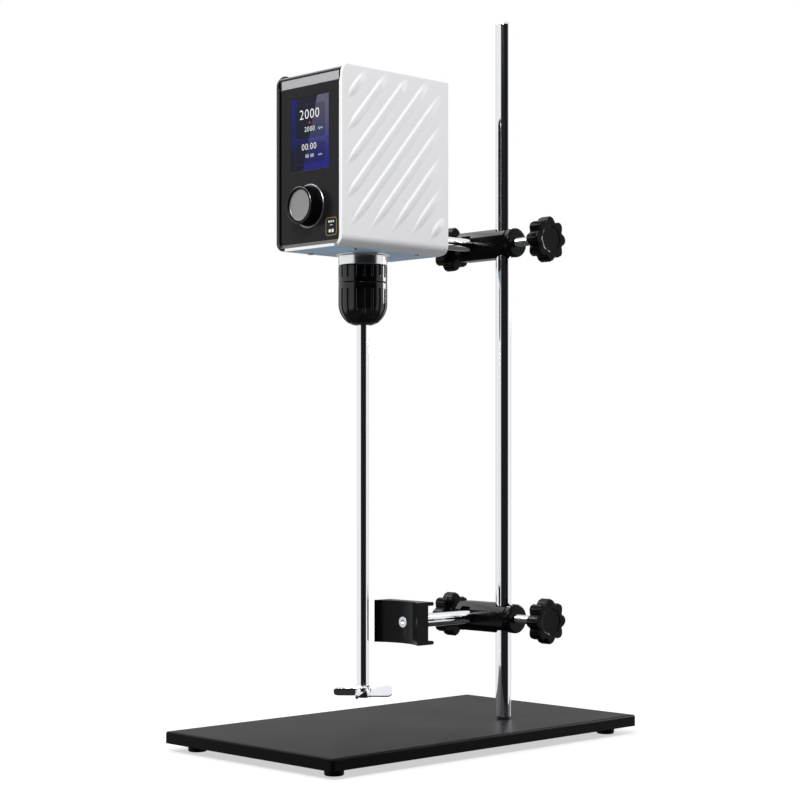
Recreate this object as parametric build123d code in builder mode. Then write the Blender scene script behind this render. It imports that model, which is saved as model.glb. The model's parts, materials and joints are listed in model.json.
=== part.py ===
from build123d import *

import os
from math import cos, radians, sin, sqrt

os.makedirs("parts", exist_ok=True)

# All sizes in millimetres. Z is up, the display faces -Y, z = 0 is the floor.
UP = (0, 0, 1)
RIGHT = (1, 0, 0)
FRONT = (0, -1, 0)
BACK = (0, 1, 0)

# Clearances
run_fit = 0.05
loose_fit = 0.3
seat_gap = 0.1

# Base plate and its feet
plate_width = 214.0
plate_length = 374.0
plate_thickness = 10.0
plate_corner = 3.0
plate_edge = 2.0
foot_height = 7.0
foot_diameter = 16.0
foot_inset = 20.0
foot_screw_diameter = 4.0
foot_screw_reach = 6.0
foot_head_diameter = 8.0
foot_head_height = 2.4
foot_head_seat = 3.5
foot_bevel = 0.8

# Stand rod, bolted from below
stand_x = 40.0
stand_y = 81.0
stand_diameter = 14.0
stand_length = 626.0
stand_chamfer = 2.0
bolt_diameter = 8.0
bolt_reach = 20.0
bolt_head_diameter = 13.0
bolt_head_height = 5.0
bolt_sink = 4.1
washer_diameter = 18.0
washer_thickness = 1.6

# Clamps: an octagonal bar with a vee seat for each rod
rod_offset = 31.0
upper_height = 443.6
lower_height = 107.5
arm_diameter = 12.0
boss_section = 26.0
boss_flat = 13.0
boss_overhang = 17.0
boss_disc_length = 6.5
boss_disc_edge = 2.0
window_arm = 4.0
window_end_wall = 6.5

# Thumb screws
thumb_diameter = 8.0
thumb_socket = 8.0
thumb_chamfer = 1.0
support_thumb_reach = 11.0
stand_thumb_reach = 27.5
grip_diameter = 40.0
grip_thickness = 12.6
grip_lobes = 8
grip_lobe_diameter = 11.0
grip_core_diameter = 32.6
grip_edge = 1.2
grip_hub_diameter = 18.0
grip_hub_height = 2.0

# Support rod and the head that it carries
head_setback = 81.5
arm_tail = 35.0
arm_grip = 22.0
arm_chamfer = 1.0
head_width = 83.0
head_depth = 124.5
head_height = 148.0
head_drop = 17.6
shell_wall = 2.4
shell_bottom_radius = 9.0
shell_top_radius = 2.0
shell_flange = 1.5
shell_top_rise = 3.0
shell_lip = 1.4
shell_lip_depth = 1.2
nose_radius = 10.0
corner_radius = 3.0

# Soft ridges on the side faces
ridge_count = 9
ridge_angle = 48.5
ridge_pitch = 18.05
ridge_shift = -1.8
ridge_height = 1.1
ridge_curve = 11.0
ridge_margin_y = 4.0
ridge_low_margin = 12.0
ridge_high_margin = 4.5
ridge_root = 0.8
ridge_sweep = 30.0

# Core frame, front bezel and panel
frame_wall = 3.0
frame_top_wall = 3.5
frame_setback = 1.4
frame_lip = 11.0
frame_end = 10.0
bezel_thickness = 5.0
bezel_setback = 1.4
bezel_rim_low = 3.1
bezel_rim_high = 7.4
panel_thickness = 2.5
panel_proud = 0.4
screen_width = 47.6
screen_height = 61.6
screen_low = 66.0
display_border = 3.5
display_depth = 6.0
board_setback = 24.0
board_width = 70.0
board_height = 104.0
board_low = 22.0
board_thickness = 1.6
post_diameter = 6.0
post_inset = 4.0

# Speed knob and its encoder
knob_height = 35.6
knob_diameter = 33.6
knob_front_diameter = 30.0
knob_depth = 10.8
knob_edge = 0.6
knob_socket_depth = 6.4
knob_lift = 1.6
knob_press = 1.0
knob_flutes = 24
knob_flute_diameter = 1.6
knob_flute_offset = 0.2
cap_diameter = 26.4
cap_depth = 1.4
cap_sink = 1.4
cap_edge = 0.25
ring_diameter = 37.4
ring_thickness = 1.0
encoder_size = 13.0
encoder_depth = 7.0
encoder_shaft_diameter = 6.0
bush_diameter = 8.0
plunger_depth = 2.0

# Chassis, motor and spindle
shaft_setback = 62.5
chassis_thickness = 6.0
chassis_margin = 0.4
chassis_front = 20.0
block_width = 30.0
block_height = 28.0
hub_diameter = 43.0
lower_bearing_outer = 35.0
lower_bearing_width = 10.0
spindle_diameter = 17.0
upper_bearing_outer = 32.0
upper_bearing_width = 9.0
race_share = 0.125
shield_share = 0.1
spindle_top_diameter = 15.0
spindle_bore = 10.6
shoulder_diameter = 21.0
shoulder_height = 4.0
motor_diameter = 60.0
motor_wall = 2.5
motor_height = 80.0
motor_cap = 11.0
stator_bore = 34.0
stator_height = 44.0
stator_low = 12.0
stator_slots = 12
slot_mouth = 2.0
slot_width = 4.0
slot_depth = 7.0
air_gap = 0.5
collar_flange_diameter = 46.0
collar_flange_height = 1.6
collar_diameter = 42.0
collar_height = 8.4
spindle_nose = 14.0

# Keyless chuck
chuck_diameter = 42.0
chuck_gap = 0.5
rear_sleeve_height = 14.3
rear_sleeve_cap = 2.0
rear_ribs_height = 10.0
front_sleeve_height = 35.5
front_ribs_start = 5.0
front_ribs_height = 13.0
taper_middle_height = 8.3
taper_middle_diameter = 34.6
taper_end_height = 1.8
taper_end_diameter = 25.4
mouth_face_diameter = 17.0
mouth_diameter = 14.0
mouth_depth = 1.2
grip_grooves = 18
groove_diameter = 2.6
groove_offset = 0.3
chuck_core_diameter = 30.0
chuck_nose_diameter = 26.0
chuck_nose_bevel = 1.6
chuck_nose_height = 10.0
chuck_seat_diameter = 37.0
chuck_seat_height = 6.0
jaw_count = 3
jaw_start = 90.0
jaw_tilt = 15.0
jaw_diameter = 8.0
jaw_radius = 6.0
jaw_length = 24.0
jaw_lift = 3.4
jaw_travel = 5.8
jaw_fit = 0.04

# Stirring shaft and propeller
tool_diameter = 10.0
tool_bottom = 46.0
tool_inside_head = 14.0
propeller_diameter = 50.0
propeller_hub_diameter = 14.0
propeller_hub_height = 10.0
propeller_blades = 4
blade_thickness = 1.5
blade_width = 13.0
blade_pitch = 35.0
blade_start = 45.0
blade_corner = 4.0

# Vessel saddle on its rod
saddle_radius = 47.5
saddle_half_width = 27.0
saddle_height = 37.0
saddle_web = 5.0
saddle_flange_depth = 6.8
saddle_flange = 3.2
saddle_boss_diameter = 22.0
saddle_edge = 1.0
saddle_screw_diameter = 5.0
saddle_screw_head = 9.6
saddle_screw_head_height = 2.8
saddle_screw_socket = 3.4
saddle_screw_reach = 14.0

# Rear cover, inlet and switch
cover_thickness = 3.0
cover_inset = 0.2
bottom_setback = 0.5
cover_screw_diameter = 3.0
cover_head_diameter = 5.6
cover_head_height = 2.2
cover_screw_reach = 9.0
cover_post = 8.0
cover_post_depth = 12.0
vent_count = 6
vent_width = 34.0
vent_height = 2.4
vent_pitch = 5.6
vent_low = 112.0
inlet_low = 40.0
inlet_width = 31.0
inlet_height = 58.0
inlet_flange = 2.0
inlet_body_width = 27.4
inlet_body_height = 54.0
inlet_body_depth = 22.0
socket_width = 24.6
socket_height = 17.0
socket_depth = 17.0
socket_low = 6.0
pin_width = 2.0
pin_height = 4.0
pin_length = 11.0
pin_spread = 7.0
pin_offset = 4.0
socket_bevel = 4.0
rocker_width = 13.0
rocker_height = 18.0
rocker_depth = 9.0
rocker_middle = 41.0
rocker_tilt = 8.0
rocker_tip = 2.4
rocker_waist = 0.4
rocker_pivot = 3.0
rocker_back = 4.0
rocker_back_height = 12.0
rocker_pin_diameter = 2.4
rocker_pin_reach = 1.0

# Bottom screws of the head
bottom_screw_x = 28.0
bottom_screw_front = 27.0
bottom_screw_rear = 100.0

# Places worked out from the sizes above
plate_top = foot_height + plate_thickness
arm_x = stand_x - rod_offset
head_back_y = stand_y - head_setback
head_front_y = head_back_y - head_depth
head_bottom_z = upper_height - head_drop
shaft_y = head_back_y - shaft_setback
half_width = head_width / 2
frame_half = half_width - shell_wall - seat_gap
opening_half = frame_half - frame_wall
frame_floor = shell_wall + frame_wall
chassis_low = frame_floor
chassis_top = chassis_low + chassis_thickness
frame_ceiling = head_height - frame_top_wall
bezel_top = frame_ceiling - seat_gap
bezel_width = 2 * (opening_half - seat_gap)
bezel_low = shell_wall + seat_gap
panel_low = bezel_low + bezel_rim_low
panel_high = bezel_top - bezel_rim_high
spindle_axis = Axis((arm_x, shaft_y, 0), UP)


def front_plane(depth):
    """Plane facing the user, depth behind the head's front, origin at its bottom centre."""
    return Plane(origin=(arm_x, head_front_y + depth, head_bottom_z), x_dir=RIGHT, z_dir=FRONT)


def level_plane(height):
    """Horizontal plane on the spindle axis, height above the head's underside."""
    return Plane(origin=(arm_x, shaft_y, head_bottom_z + height), x_dir=RIGHT, z_dir=UP)


def side_plane(x):
    """Plane across X with local x along +Y and local y along +Z."""
    return Plane(origin=(x, 0, 0), x_dir=BACK, z_dir=RIGHT)


turning_plane = Plane(origin=(arm_x, shaft_y, head_bottom_z), x_dir=RIGHT, z_dir=FRONT)

# ---------------------------------------------------------------- base and stand
foot_places = {
    "front_left": (-1, -1),
    "front_right": (1, -1),
    "rear_left": (-1, 1),
    "rear_right": (1, 1),
}
foot_x = plate_width / 2 - foot_inset
foot_y = plate_length / 2 - foot_inset
foot_points = [(sx * foot_x, sy * foot_y) for sx, sy in foot_places.values()]

with BuildPart() as base_plate:
    with BuildSketch(Plane.XY.offset(foot_height)):
        RectangleRounded(plate_width, plate_length, plate_corner)
    extrude(amount=plate_thickness)
    fillet(base_plate.faces().sort_by(Axis.Z)[-1].edges(), plate_edge)
    with BuildSketch(Plane.XY.offset(foot_height)):
        with Locations((stand_x, stand_y)):
            Circle(bolt_diameter / 2 + loose_fit)
    extrude(amount=plate_thickness, mode=Mode.SUBTRACT)
    with BuildSketch(Plane.XY.offset(foot_height)):
        with Locations((stand_x, stand_y)):
            Circle(washer_diameter / 2 + loose_fit)
    extrude(amount=bolt_sink, mode=Mode.SUBTRACT)
    with BuildSketch(Plane.XY.offset(foot_height)):
        with Locations(*foot_points):
            Circle(foot_screw_diameter / 2 + run_fit)
    extrude(amount=foot_screw_reach + run_fit, mode=Mode.SUBTRACT)
base_plate.part.label = "base_plate"
export_step(base_plate.part, "parts/base_plate.step")

for place, (sx, sy) in foot_places.items():
    with BuildPart() as foot:
        with BuildSketch(Plane(origin=(sx * foot_x, sy * foot_y, 0), z_dir=UP)):
            Circle(foot_diameter / 2)
        extrude(amount=foot_height)
        chamfer(foot.edges().sort_by(Axis.Z)[0], foot_bevel)
        with BuildSketch(Plane(origin=(sx * foot_x, sy * foot_y, 0), z_dir=UP)):
            Circle(foot_head_diameter / 2 + loose_fit)
        extrude(amount=foot_head_seat, mode=Mode.SUBTRACT)
        with BuildSketch(Plane(origin=(sx * foot_x, sy * foot_y, 0), z_dir=UP)):
            Circle(foot_screw_diameter / 2 + run_fit)
        extrude(amount=foot_height, mode=Mode.SUBTRACT)
    foot.part.label = "base_foot_" + place
    export_step(foot.part, "parts/base_foot_" + place + ".step")

with BuildPart() as foot_screws:
    with BuildSketch(Plane.XY.offset(foot_head_seat - foot_head_height)):
        with Locations(*foot_points):
            Circle(foot_head_diameter / 2)
    extrude(amount=foot_head_height)
    with BuildSketch(Plane.XY.offset(foot_head_seat)):
        with Locations(*foot_points):
            Circle(foot_screw_diameter / 2)
    extrude(amount=foot_height - foot_head_seat + foot_screw_reach)
foot_screws.part.label = "foot_screws"
export_step(foot_screws.part, "parts/foot_screws.step")

stand_foot = Plane(origin=(stand_x, stand_y, plate_top), z_dir=UP)
with BuildPart() as stand_rod:
    with BuildSketch(stand_foot):
        Circle(stand_diameter / 2)
    extrude(amount=stand_length)
    chamfer(stand_rod.edges().sort_by(Axis.Z)[-1], stand_chamfer)
    with BuildSketch(stand_foot):
        Circle(bolt_diameter / 2 + run_fit)
    extrude(amount=bolt_reach + run_fit, mode=Mode.SUBTRACT)
stand_rod.part.label = "stand_rod"
export_step(stand_rod.part, "parts/stand_rod.step")

washer_plane = Plane(origin=(stand_x, stand_y, foot_height + bolt_sink - washer_thickness), z_dir=UP)
with BuildPart() as rod_washer:
    with BuildSketch(washer_plane):
        Circle(washer_diameter / 2)
        Circle(bolt_diameter / 2 + loose_fit, mode=Mode.SUBTRACT)
    extrude(amount=washer_thickness)
rod_washer.part.label = "rod_washer"
export_step(rod_washer.part, "parts/rod_washer.step")

with BuildPart() as rod_bolt:
    with BuildSketch(washer_plane):
        Circle(bolt_diameter / 2)
    extrude(amount=plate_top + bolt_reach - washer_plane.origin.Z)
    with BuildSketch(washer_plane):
        RegularPolygon(bolt_head_diameter / 2, 6, major_radius=False)
    extrude(amount=-bolt_head_height)
rod_bolt.part.label = "rod_bolt"
export_step(rod_bolt.part, "parts/rod_bolt.step")

# ---------------------------------------------------------------- clamps
boss_start = arm_x - boss_overhang
boss_end = stand_x + boss_overhang
window_half = boss_section / 2 - window_arm
boss_chamfer = (boss_section - boss_flat) / 2


def vee_seat(rod_diameter, open_reach):
    """Outline of a window whose far side is a right-angled vee around a rod at the origin."""
    apex = (rod_diameter / 2 + run_fit) * sqrt(2)
    with BuildSketch() as window:
        Polygon(
            (-open_reach, -window_half),
            (apex - window_half, -window_half),
            (apex, 0),
            (apex - window_half, window_half),
            (-open_reach, window_half),
            align=None,
        )
    return window.sketch


for level, height in (("upper", upper_height), ("lower", lower_height)):
    arm_seat = Plane(origin=(arm_x, stand_y, height), x_dir=RIGHT, z_dir=FRONT)
    stand_seat = Plane(origin=(stand_x, stand_y, height), x_dir=(-1, 0, 0), z_dir=UP)
    with BuildPart() as boss:
        with BuildSketch(Plane(origin=(boss_start, stand_y, height), x_dir=BACK, z_dir=RIGHT)) as section:
            Rectangle(boss_section, boss_section)
            chamfer(section.vertices(), boss_chamfer)
        extrude(amount=boss_end - boss_disc_length - boss_start)
        end_plane = Plane(origin=(boss_end - boss_disc_length, stand_y, height), z_dir=RIGHT)
        with BuildSketch(end_plane):
            Circle(boss_section / 2)
        extrude(amount=boss_disc_length)
        fillet(boss.faces().sort_by(Axis.X)[-1].edges(), boss_disc_edge)
        with BuildSketch(arm_seat):
            add(vee_seat(arm_diameter, boss_overhang - window_end_wall))
        extrude(amount=boss_section, both=True, mode=Mode.SUBTRACT)
        with BuildSketch(stand_seat):
            add(vee_seat(stand_diameter, boss_overhang - window_end_wall))
        extrude(amount=boss_section, both=True, mode=Mode.SUBTRACT)
        with BuildSketch(Plane(origin=(boss_start, stand_y, height), z_dir=RIGHT)):
            Circle(thumb_diameter / 2 + run_fit)
        extrude(amount=boss_overhang, mode=Mode.SUBTRACT)
        with BuildSketch(Plane(origin=(stand_x, stand_y, height), z_dir=RIGHT)):
            Circle(thumb_diameter / 2 + run_fit)
        extrude(amount=boss_overhang, mode=Mode.SUBTRACT)
    boss.part.label = level + "_boss"
    export_step(boss.part, "parts/" + level + "_boss.step")

    thumbs = (
        ("support", -1, arm_x, arm_diameter, boss_start, support_thumb_reach),
        ("stand", 1, stand_x, stand_diameter, boss_end, stand_thumb_reach),
    )
    for duty, way, rod_x, rod_size, wall_x, reach in thumbs:
        tip_x = rod_x + way * (rod_size / 2 + loose_fit)
        grip_x = wall_x + way * reach
        tip_plane = Plane(origin=(tip_x, stand_y, height), z_dir=(way, 0, 0))
        grip_plane = Plane(origin=(grip_x, stand_y, height), z_dir=(way, 0, 0))
        with BuildPart() as thumb:
            with BuildSketch(tip_plane):
                Circle(thumb_diameter / 2)
            extrude(amount=abs(grip_x - tip_x) + thumb_socket)
            chamfer(thumb.faces().sort_by(Axis.X)[0 if way > 0 else -1].edges(), thumb_chamfer)
        thumb.part.label = level + "_" + duty + "_screw"
        export_step(thumb.part, "parts/" + level + "_" + duty + "_screw.step")

        with BuildPart() as grip:
            with BuildSketch(grip_plane) as lobes:
                Circle(grip_core_diameter / 2)
                with PolarLocations(grip_diameter / 2 - grip_lobe_diameter / 2, grip_lobes):
                    Circle(grip_lobe_diameter / 2)
            extrude(amount=grip_thickness)
            chamfer(grip.faces().sort_by(Axis.X)[0].edges(), grip_edge)
            chamfer(grip.faces().sort_by(Axis.X)[-1].edges(), grip_edge)
            with BuildSketch(grip_plane):
                Circle(grip_hub_diameter / 2)
            extrude(amount=-grip_hub_height)
            with BuildSketch(grip_plane.offset(-grip_hub_height)):
                Circle(thumb_diameter / 2 + run_fit)
            extrude(amount=grip_hub_height + thumb_socket + run_fit, mode=Mode.SUBTRACT)
        grip.part.label = level + "_" + duty + "_knob"
        export_step(grip.part, "parts/" + level + "_" + duty + "_knob.step")

# ---------------------------------------------------------------- support rod
arm_start = Plane(origin=(arm_x, head_back_y - arm_grip, upper_height), x_dir=RIGHT, z_dir=BACK)
with BuildPart() as support_rod:
    with BuildSketch(arm_start):
        Circle(arm_diameter / 2)
    extrude(amount=arm_grip + head_setback + arm_tail)
    chamfer(support_rod.faces().sort_by(Axis.Y)[-1].edges(), arm_chamfer)
support_rod.part.label = "support_rod"
export_step(support_rod.part, "parts/support_rod.step")

# ---------------------------------------------------------------- head casing


def side_profile(front, back, low, high, front_top, other):
    """Outline in the YZ plane with its own radius at the front top corner."""
    with BuildSketch() as outline:
        with BuildLine():
            FilletPolyline(
                (front, low),
                (front, high),
                (back, high),
                (back, low),
                radius=[other, front_top, other, other],
                close=True,
            )
        make_face()
    return outline.sketch


shell_height = head_height + shell_top_rise
shell_top_z = head_bottom_z + shell_height
face_x = arm_x + half_width


def shell_section(wall):
    """Right half of the casing's outline seen from the front, as a strip of the given wall."""
    with BuildSketch() as section:
        with Locations((half_width, 0)):
            Rectangle(shell_bottom_radius + shell_flange, shell_height, align=(Align.MAX, Align.MIN))
        outer = section.vertices().sort_by(Axis.X)[-2:].sort_by(Axis.Y)
        fillet(outer[0], shell_bottom_radius)
        fillet(section.vertices().sort_by(Axis.Y)[-2:].sort_by(Axis.X)[-1], shell_top_radius)
        with BuildSketch(mode=Mode.PRIVATE) as hollow:
            with Locations((half_width - wall, wall)):
                Rectangle(shell_bottom_radius + shell_flange, shell_height, align=(Align.MAX, Align.MIN))
            inner = hollow.vertices().sort_by(Axis.Y)[:2].sort_by(Axis.X)[-1]
            fillet(inner, shell_bottom_radius - wall)
        add(hollow.sketch, mode=Mode.SUBTRACT)
    return section.sketch


with BuildPart() as right_shell:
    with BuildSketch(front_plane(head_depth)):
        add(shell_section(shell_wall))
    extrude(amount=head_depth)
    with BuildSketch(front_plane(shell_lip_depth)):
        add(shell_section(shell_wall + shell_lip))
    extrude(amount=shell_lip_depth)
    with BuildSketch(side_plane(arm_x)):
        add(side_profile(head_front_y, head_back_y, head_bottom_z, shell_top_z, nose_radius, corner_radius))
    extrude(amount=head_width, mode=Mode.INTERSECT)

    # A ridge is the sliver of a long spindle, buried until only its crest stands proud.
    along = (0, cos(radians(ridge_angle)), sin(radians(ridge_angle)))
    across = (
        sin(radians(ridge_sweep)),
        along[2] * cos(radians(ridge_sweep)),
        -along[1] * cos(radians(ridge_sweep)),
    )
    centre_y = (head_front_y + head_back_y) / 2
    low_z = head_bottom_z + ridge_low_margin
    high_z = shell_top_z - ridge_high_margin
    centre_z = (low_z + high_z) / 2
    reach_y = head_depth / 2 - ridge_margin_y
    reach_z = (high_z - low_z) / 2
    for index in range(ridge_count):
        shift = ((ridge_count - 1) / 2 - index) * ridge_pitch + ridge_shift
        start = max(
            (shift * along[2] - reach_y) / along[1],
            (-shift * along[1] - reach_z) / along[2],
        )
        end = min(
            (shift * along[2] + reach_y) / along[1],
            (-shift * along[1] + reach_z) / along[2],
        )
        middle = (start + end) / 2
        half_length = (end - start) / 2
        ridge_origin = (
            face_x + ridge_height - ridge_curve,
            centre_y - shift * along[2] + middle * along[1],
            centre_z + shift * along[1] + middle * along[2],
        )
        with BuildSketch(Plane(origin=ridge_origin, x_dir=along, z_dir=across)):
            with BuildLine():
                ThreePointArc(
                    (-half_length, ridge_curve - ridge_height),
                    (0, ridge_curve),
                    (half_length, ridge_curve - ridge_height),
                )
                Polyline(
                    (half_length, ridge_curve - ridge_height),
                    (half_length, ridge_curve - ridge_height - ridge_root),
                    (-half_length, ridge_curve - ridge_height - ridge_root),
                    (-half_length, ridge_curve - ridge_height),
                )
            make_face()
        revolve(axis=Axis(ridge_origin, along), revolution_arc=2 * ridge_sweep)
right_shell.part.label = "right_shell"
export_step(right_shell.part, "parts/right_shell.step")

with BuildPart() as left_shell:
    mirror(right_shell.part, about=Plane.YZ.offset(arm_x))
left_shell.part.label = "left_shell"
export_step(left_shell.part, "parts/left_shell.step")

bottom_points = [
    (sx * bottom_screw_x, y - shaft_y + head_front_y)
    for sx in (-1, 1)
    for y in (bottom_screw_front, bottom_screw_rear)
]
frame_low_radius = shell_bottom_radius - shell_wall - seat_gap
post_x = opening_half - cover_post / 2
post_low = chassis_top + seat_gap + cover_post / 2
post_high = frame_ceiling - cover_post / 2
post_points = [(sx * post_x, z) for sx in (-1, 1) for z in (post_low, post_high)]
frame_top_z = head_bottom_z + head_height
frame_low_z = head_bottom_z + shell_wall + seat_gap

with BuildPart() as core_frame:
    with BuildSketch(front_plane(head_depth)) as section:
        with Locations((0, shell_wall)):
            Rectangle(2 * frame_half, head_height - shell_wall, align=(Align.CENTER, Align.MIN))
        fillet(section.vertices().sort_by(Axis.Y)[:2], frame_low_radius)
        fillet(section.vertices().sort_by(Axis.Y)[-2:], shell_top_radius)
    extrude(amount=head_depth - frame_setback)
    with BuildSketch(side_plane(arm_x)):
        add(
            side_profile(
                head_front_y + frame_setback,
                head_back_y,
                frame_low_z,
                frame_top_z,
                corner_radius,
                corner_radius,
            )
        )
    extrude(amount=head_width, both=True, mode=Mode.INTERSECT)
    with BuildSketch(front_plane(head_depth)) as hollow:
        with Locations((0, frame_floor)):
            Rectangle(2 * opening_half, frame_ceiling - frame_floor, align=(Align.CENTER, Align.MIN))
        fillet(hollow.vertices().sort_by(Axis.Y)[:2], frame_low_radius - frame_wall)
    extrude(amount=head_depth, mode=Mode.SUBTRACT)
    with BuildSketch(front_plane(head_depth - frame_end)):
        with Locations((0, shell_wall)):
            Rectangle(
                2 * (opening_half - frame_lip),
                frame_wall,
                align=(Align.CENTER, Align.MIN),
            )
    extrude(amount=head_depth - 2 * frame_end, mode=Mode.SUBTRACT)
    with BuildSketch(front_plane(bezel_setback + bezel_thickness)) as pocket:
        with Locations((0, shell_wall)):
            Rectangle(2 * opening_half, frame_ceiling - shell_wall, align=(Align.CENTER, Align.MIN))
        fillet(pocket.vertices().sort_by(Axis.Y)[:2], frame_low_radius - frame_wall)
    extrude(amount=bezel_setback + bezel_thickness, mode=Mode.SUBTRACT)
    with BuildSketch(level_plane(shell_wall)):
        with Locations(*bottom_points):
            Circle(cover_screw_diameter / 2 + run_fit)
    extrude(amount=frame_wall, mode=Mode.SUBTRACT)
    with BuildSketch(front_plane(head_depth - cover_thickness - cover_inset)):
        with Locations(*post_points):
            Rectangle(cover_post, cover_post)
            Circle(cover_screw_diameter / 2 + run_fit, mode=Mode.SUBTRACT)
    extrude(amount=cover_post_depth)
core_frame.part.label = "core_frame"
export_step(core_frame.part, "parts/core_frame.step")

# The underside cover lies flush between the two side shells.
cover_half = half_width - shell_bottom_radius - shell_flange - seat_gap
with BuildPart() as bottom_cover:
    with BuildSketch(level_plane(0)):
        with Locations((0, (head_front_y + head_back_y) / 2 - shaft_y)):
            Rectangle(2 * cover_half, head_depth - 2 * bottom_setback)
        Circle(hub_diameter / 2 + loose_fit, mode=Mode.SUBTRACT)
    extrude(amount=shell_wall)
    with BuildSketch(level_plane(0)):
        with Locations(*bottom_points):
            Circle(cover_head_diameter / 2 + loose_fit)
    extrude(amount=shell_wall / 2, mode=Mode.SUBTRACT)
    with BuildSketch(level_plane(0)):
        with Locations(*bottom_points):
            Circle(cover_screw_diameter / 2 + run_fit)
    extrude(amount=shell_wall, mode=Mode.SUBTRACT)
bottom_cover.part.label = "bottom_cover"
export_step(bottom_cover.part, "parts/bottom_cover.step")

with BuildPart() as bottom_screws:
    with BuildSketch(level_plane(shell_wall / 2 - cover_head_height)):
        with Locations(*bottom_points):
            Circle(cover_head_diameter / 2)
    extrude(amount=cover_head_height)
    with BuildSketch(level_plane(shell_wall / 2)):
        with Locations(*bottom_points):
            Circle(cover_screw_diameter / 2)
    extrude(amount=cover_screw_reach - shell_wall / 2)
bottom_screws.part.label = "bottom_screws"
export_step(bottom_screws.part, "parts/bottom_screws.step")

# ---------------------------------------------------------------- front of the head
panel_mid = (panel_low + panel_high) / 2
screen_mid = screen_low + screen_height / 2
panel_back = bezel_setback + panel_thickness - panel_proud
bezel_back = bezel_setback + bezel_thickness
board_front = board_setback
post_span_x = board_width / 2 - post_inset
post_span_z = board_height / 2 - post_inset
board_mid = board_low + board_height / 2
board_posts = [(sx * post_span_x, board_mid + sz * post_span_z) for sx in (-1, 1) for sz in (-1, 1)]

with BuildPart() as front_bezel:
    with BuildSketch(front_plane(bezel_back)) as section:
        with Locations((0, bezel_low)):
            Rectangle(bezel_width, bezel_top - bezel_low, align=(Align.CENTER, Align.MIN))
        fillet(section.vertices().sort_by(Axis.Y)[:2], frame_low_radius - frame_wall)
    extrude(amount=bezel_thickness)
    with BuildSketch(front_plane(panel_back)):
        with Locations((0, panel_mid)):
            Rectangle(bezel_width, panel_high - panel_low + 2 * seat_gap)
    extrude(amount=head_depth, mode=Mode.SUBTRACT)
    with BuildSketch(front_plane(bezel_back)):
        with Locations((0, screen_mid)):
            Rectangle(
                screen_width + 2 * (display_border + seat_gap),
                screen_height + 2 * (display_border + seat_gap),
            )
        with Locations((0, knob_height)):
            Circle(bush_diameter / 2 + loose_fit)
    extrude(amount=bezel_thickness, mode=Mode.SUBTRACT)
    with BuildSketch(front_plane(board_front)):
        with Locations(*board_posts):
            Circle(post_diameter / 2)
    extrude(amount=board_front - bezel_back)
front_bezel.part.label = "front_bezel"
export_step(front_bezel.part, "parts/front_bezel.step")

with BuildPart() as front_panel:
    with BuildSketch(front_plane(panel_back)) as face:
        with Locations((0, panel_mid)):
            Rectangle(bezel_width, panel_high - panel_low)
        fillet(face.vertices().sort_by(Axis.Y)[:2], frame_low_radius - frame_wall)
        with Locations((0, screen_mid)):
            Rectangle(screen_width, screen_height, mode=Mode.SUBTRACT)
        with Locations((0, knob_height)):
            Circle(bush_diameter / 2 + loose_fit, mode=Mode.SUBTRACT)
    extrude(amount=panel_thickness)
front_panel.part.label = "front_panel"
export_step(front_panel.part, "parts/front_panel.step")

with BuildPart() as display_module:
    with BuildSketch(front_plane(panel_back + display_depth)):
        with Locations((0, screen_mid)):
            Rectangle(screen_width + 2 * display_border, screen_height + 2 * display_border)
    extrude(amount=display_depth)
    with BuildSketch(front_plane(panel_back)):
        with Locations((0, screen_mid)):
            Rectangle(screen_width - 2 * seat_gap, screen_height - 2 * seat_gap)
    extrude(amount=panel_thickness - seat_gap)
display_module.part.label = "display_module"
export_step(display_module.part, "parts/display_module.step")

with BuildPart() as control_board:
    with BuildSketch(front_plane(board_front + board_thickness)):
        with Locations((0, board_mid)):
            Rectangle(board_width, board_height)
    extrude(amount=board_thickness)
    with BuildSketch(front_plane(board_front)):
        with Locations((0, screen_mid)):
            Rectangle(screen_width / 2, screen_height / 2)
    extrude(amount=board_front - panel_back - display_depth - seat_gap)
control_board.part.label = "control_board"
export_step(control_board.part, "parts/control_board.step")

panel_face = panel_back - panel_thickness
encoder_front = board_front - encoder_depth
knob_rear = panel_face - knob_lift
with BuildPart() as encoder_body:
    with BuildSketch(front_plane(board_front)):
        with Locations((0, knob_height)):
            Rectangle(encoder_size, encoder_size)
    extrude(amount=encoder_depth)
    with BuildSketch(front_plane(encoder_front)):
        with Locations((0, knob_height)):
            Circle(bush_diameter / 2)
    extrude(amount=encoder_front - panel_face)
    with BuildSketch(front_plane(board_front - plunger_depth / 2)):
        with Locations((0, knob_height)):
            Circle(encoder_shaft_diameter / 2 + run_fit)
    extrude(amount=board_front, mode=Mode.SUBTRACT)
encoder_body.part.label = "encoder_body"
export_step(encoder_body.part, "parts/encoder_body.step")

# The plunger has the press travel behind it; the shaft turns on its front face.
plunger_back = board_front - plunger_depth / 2 - knob_press - loose_fit
with BuildPart() as encoder_plunger:
    with BuildSketch(front_plane(plunger_back)):
        with Locations((0, knob_height)):
            Circle(encoder_shaft_diameter / 2)
    extrude(amount=plunger_depth)
encoder_plunger.part.label = "encoder_plunger"
export_step(encoder_plunger.part, "parts/encoder_plunger.step")

shaft_back = plunger_back - plunger_depth - seat_gap
knob_socket = knob_rear - knob_socket_depth
with BuildPart() as encoder_shaft:
    with BuildSketch(front_plane(shaft_back)):
        with Locations((0, knob_height)):
            Circle(encoder_shaft_diameter / 2)
    extrude(amount=shaft_back - knob_socket)
encoder_shaft.part.label = "encoder_shaft"
export_step(encoder_shaft.part, "parts/encoder_shaft.step")

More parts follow.
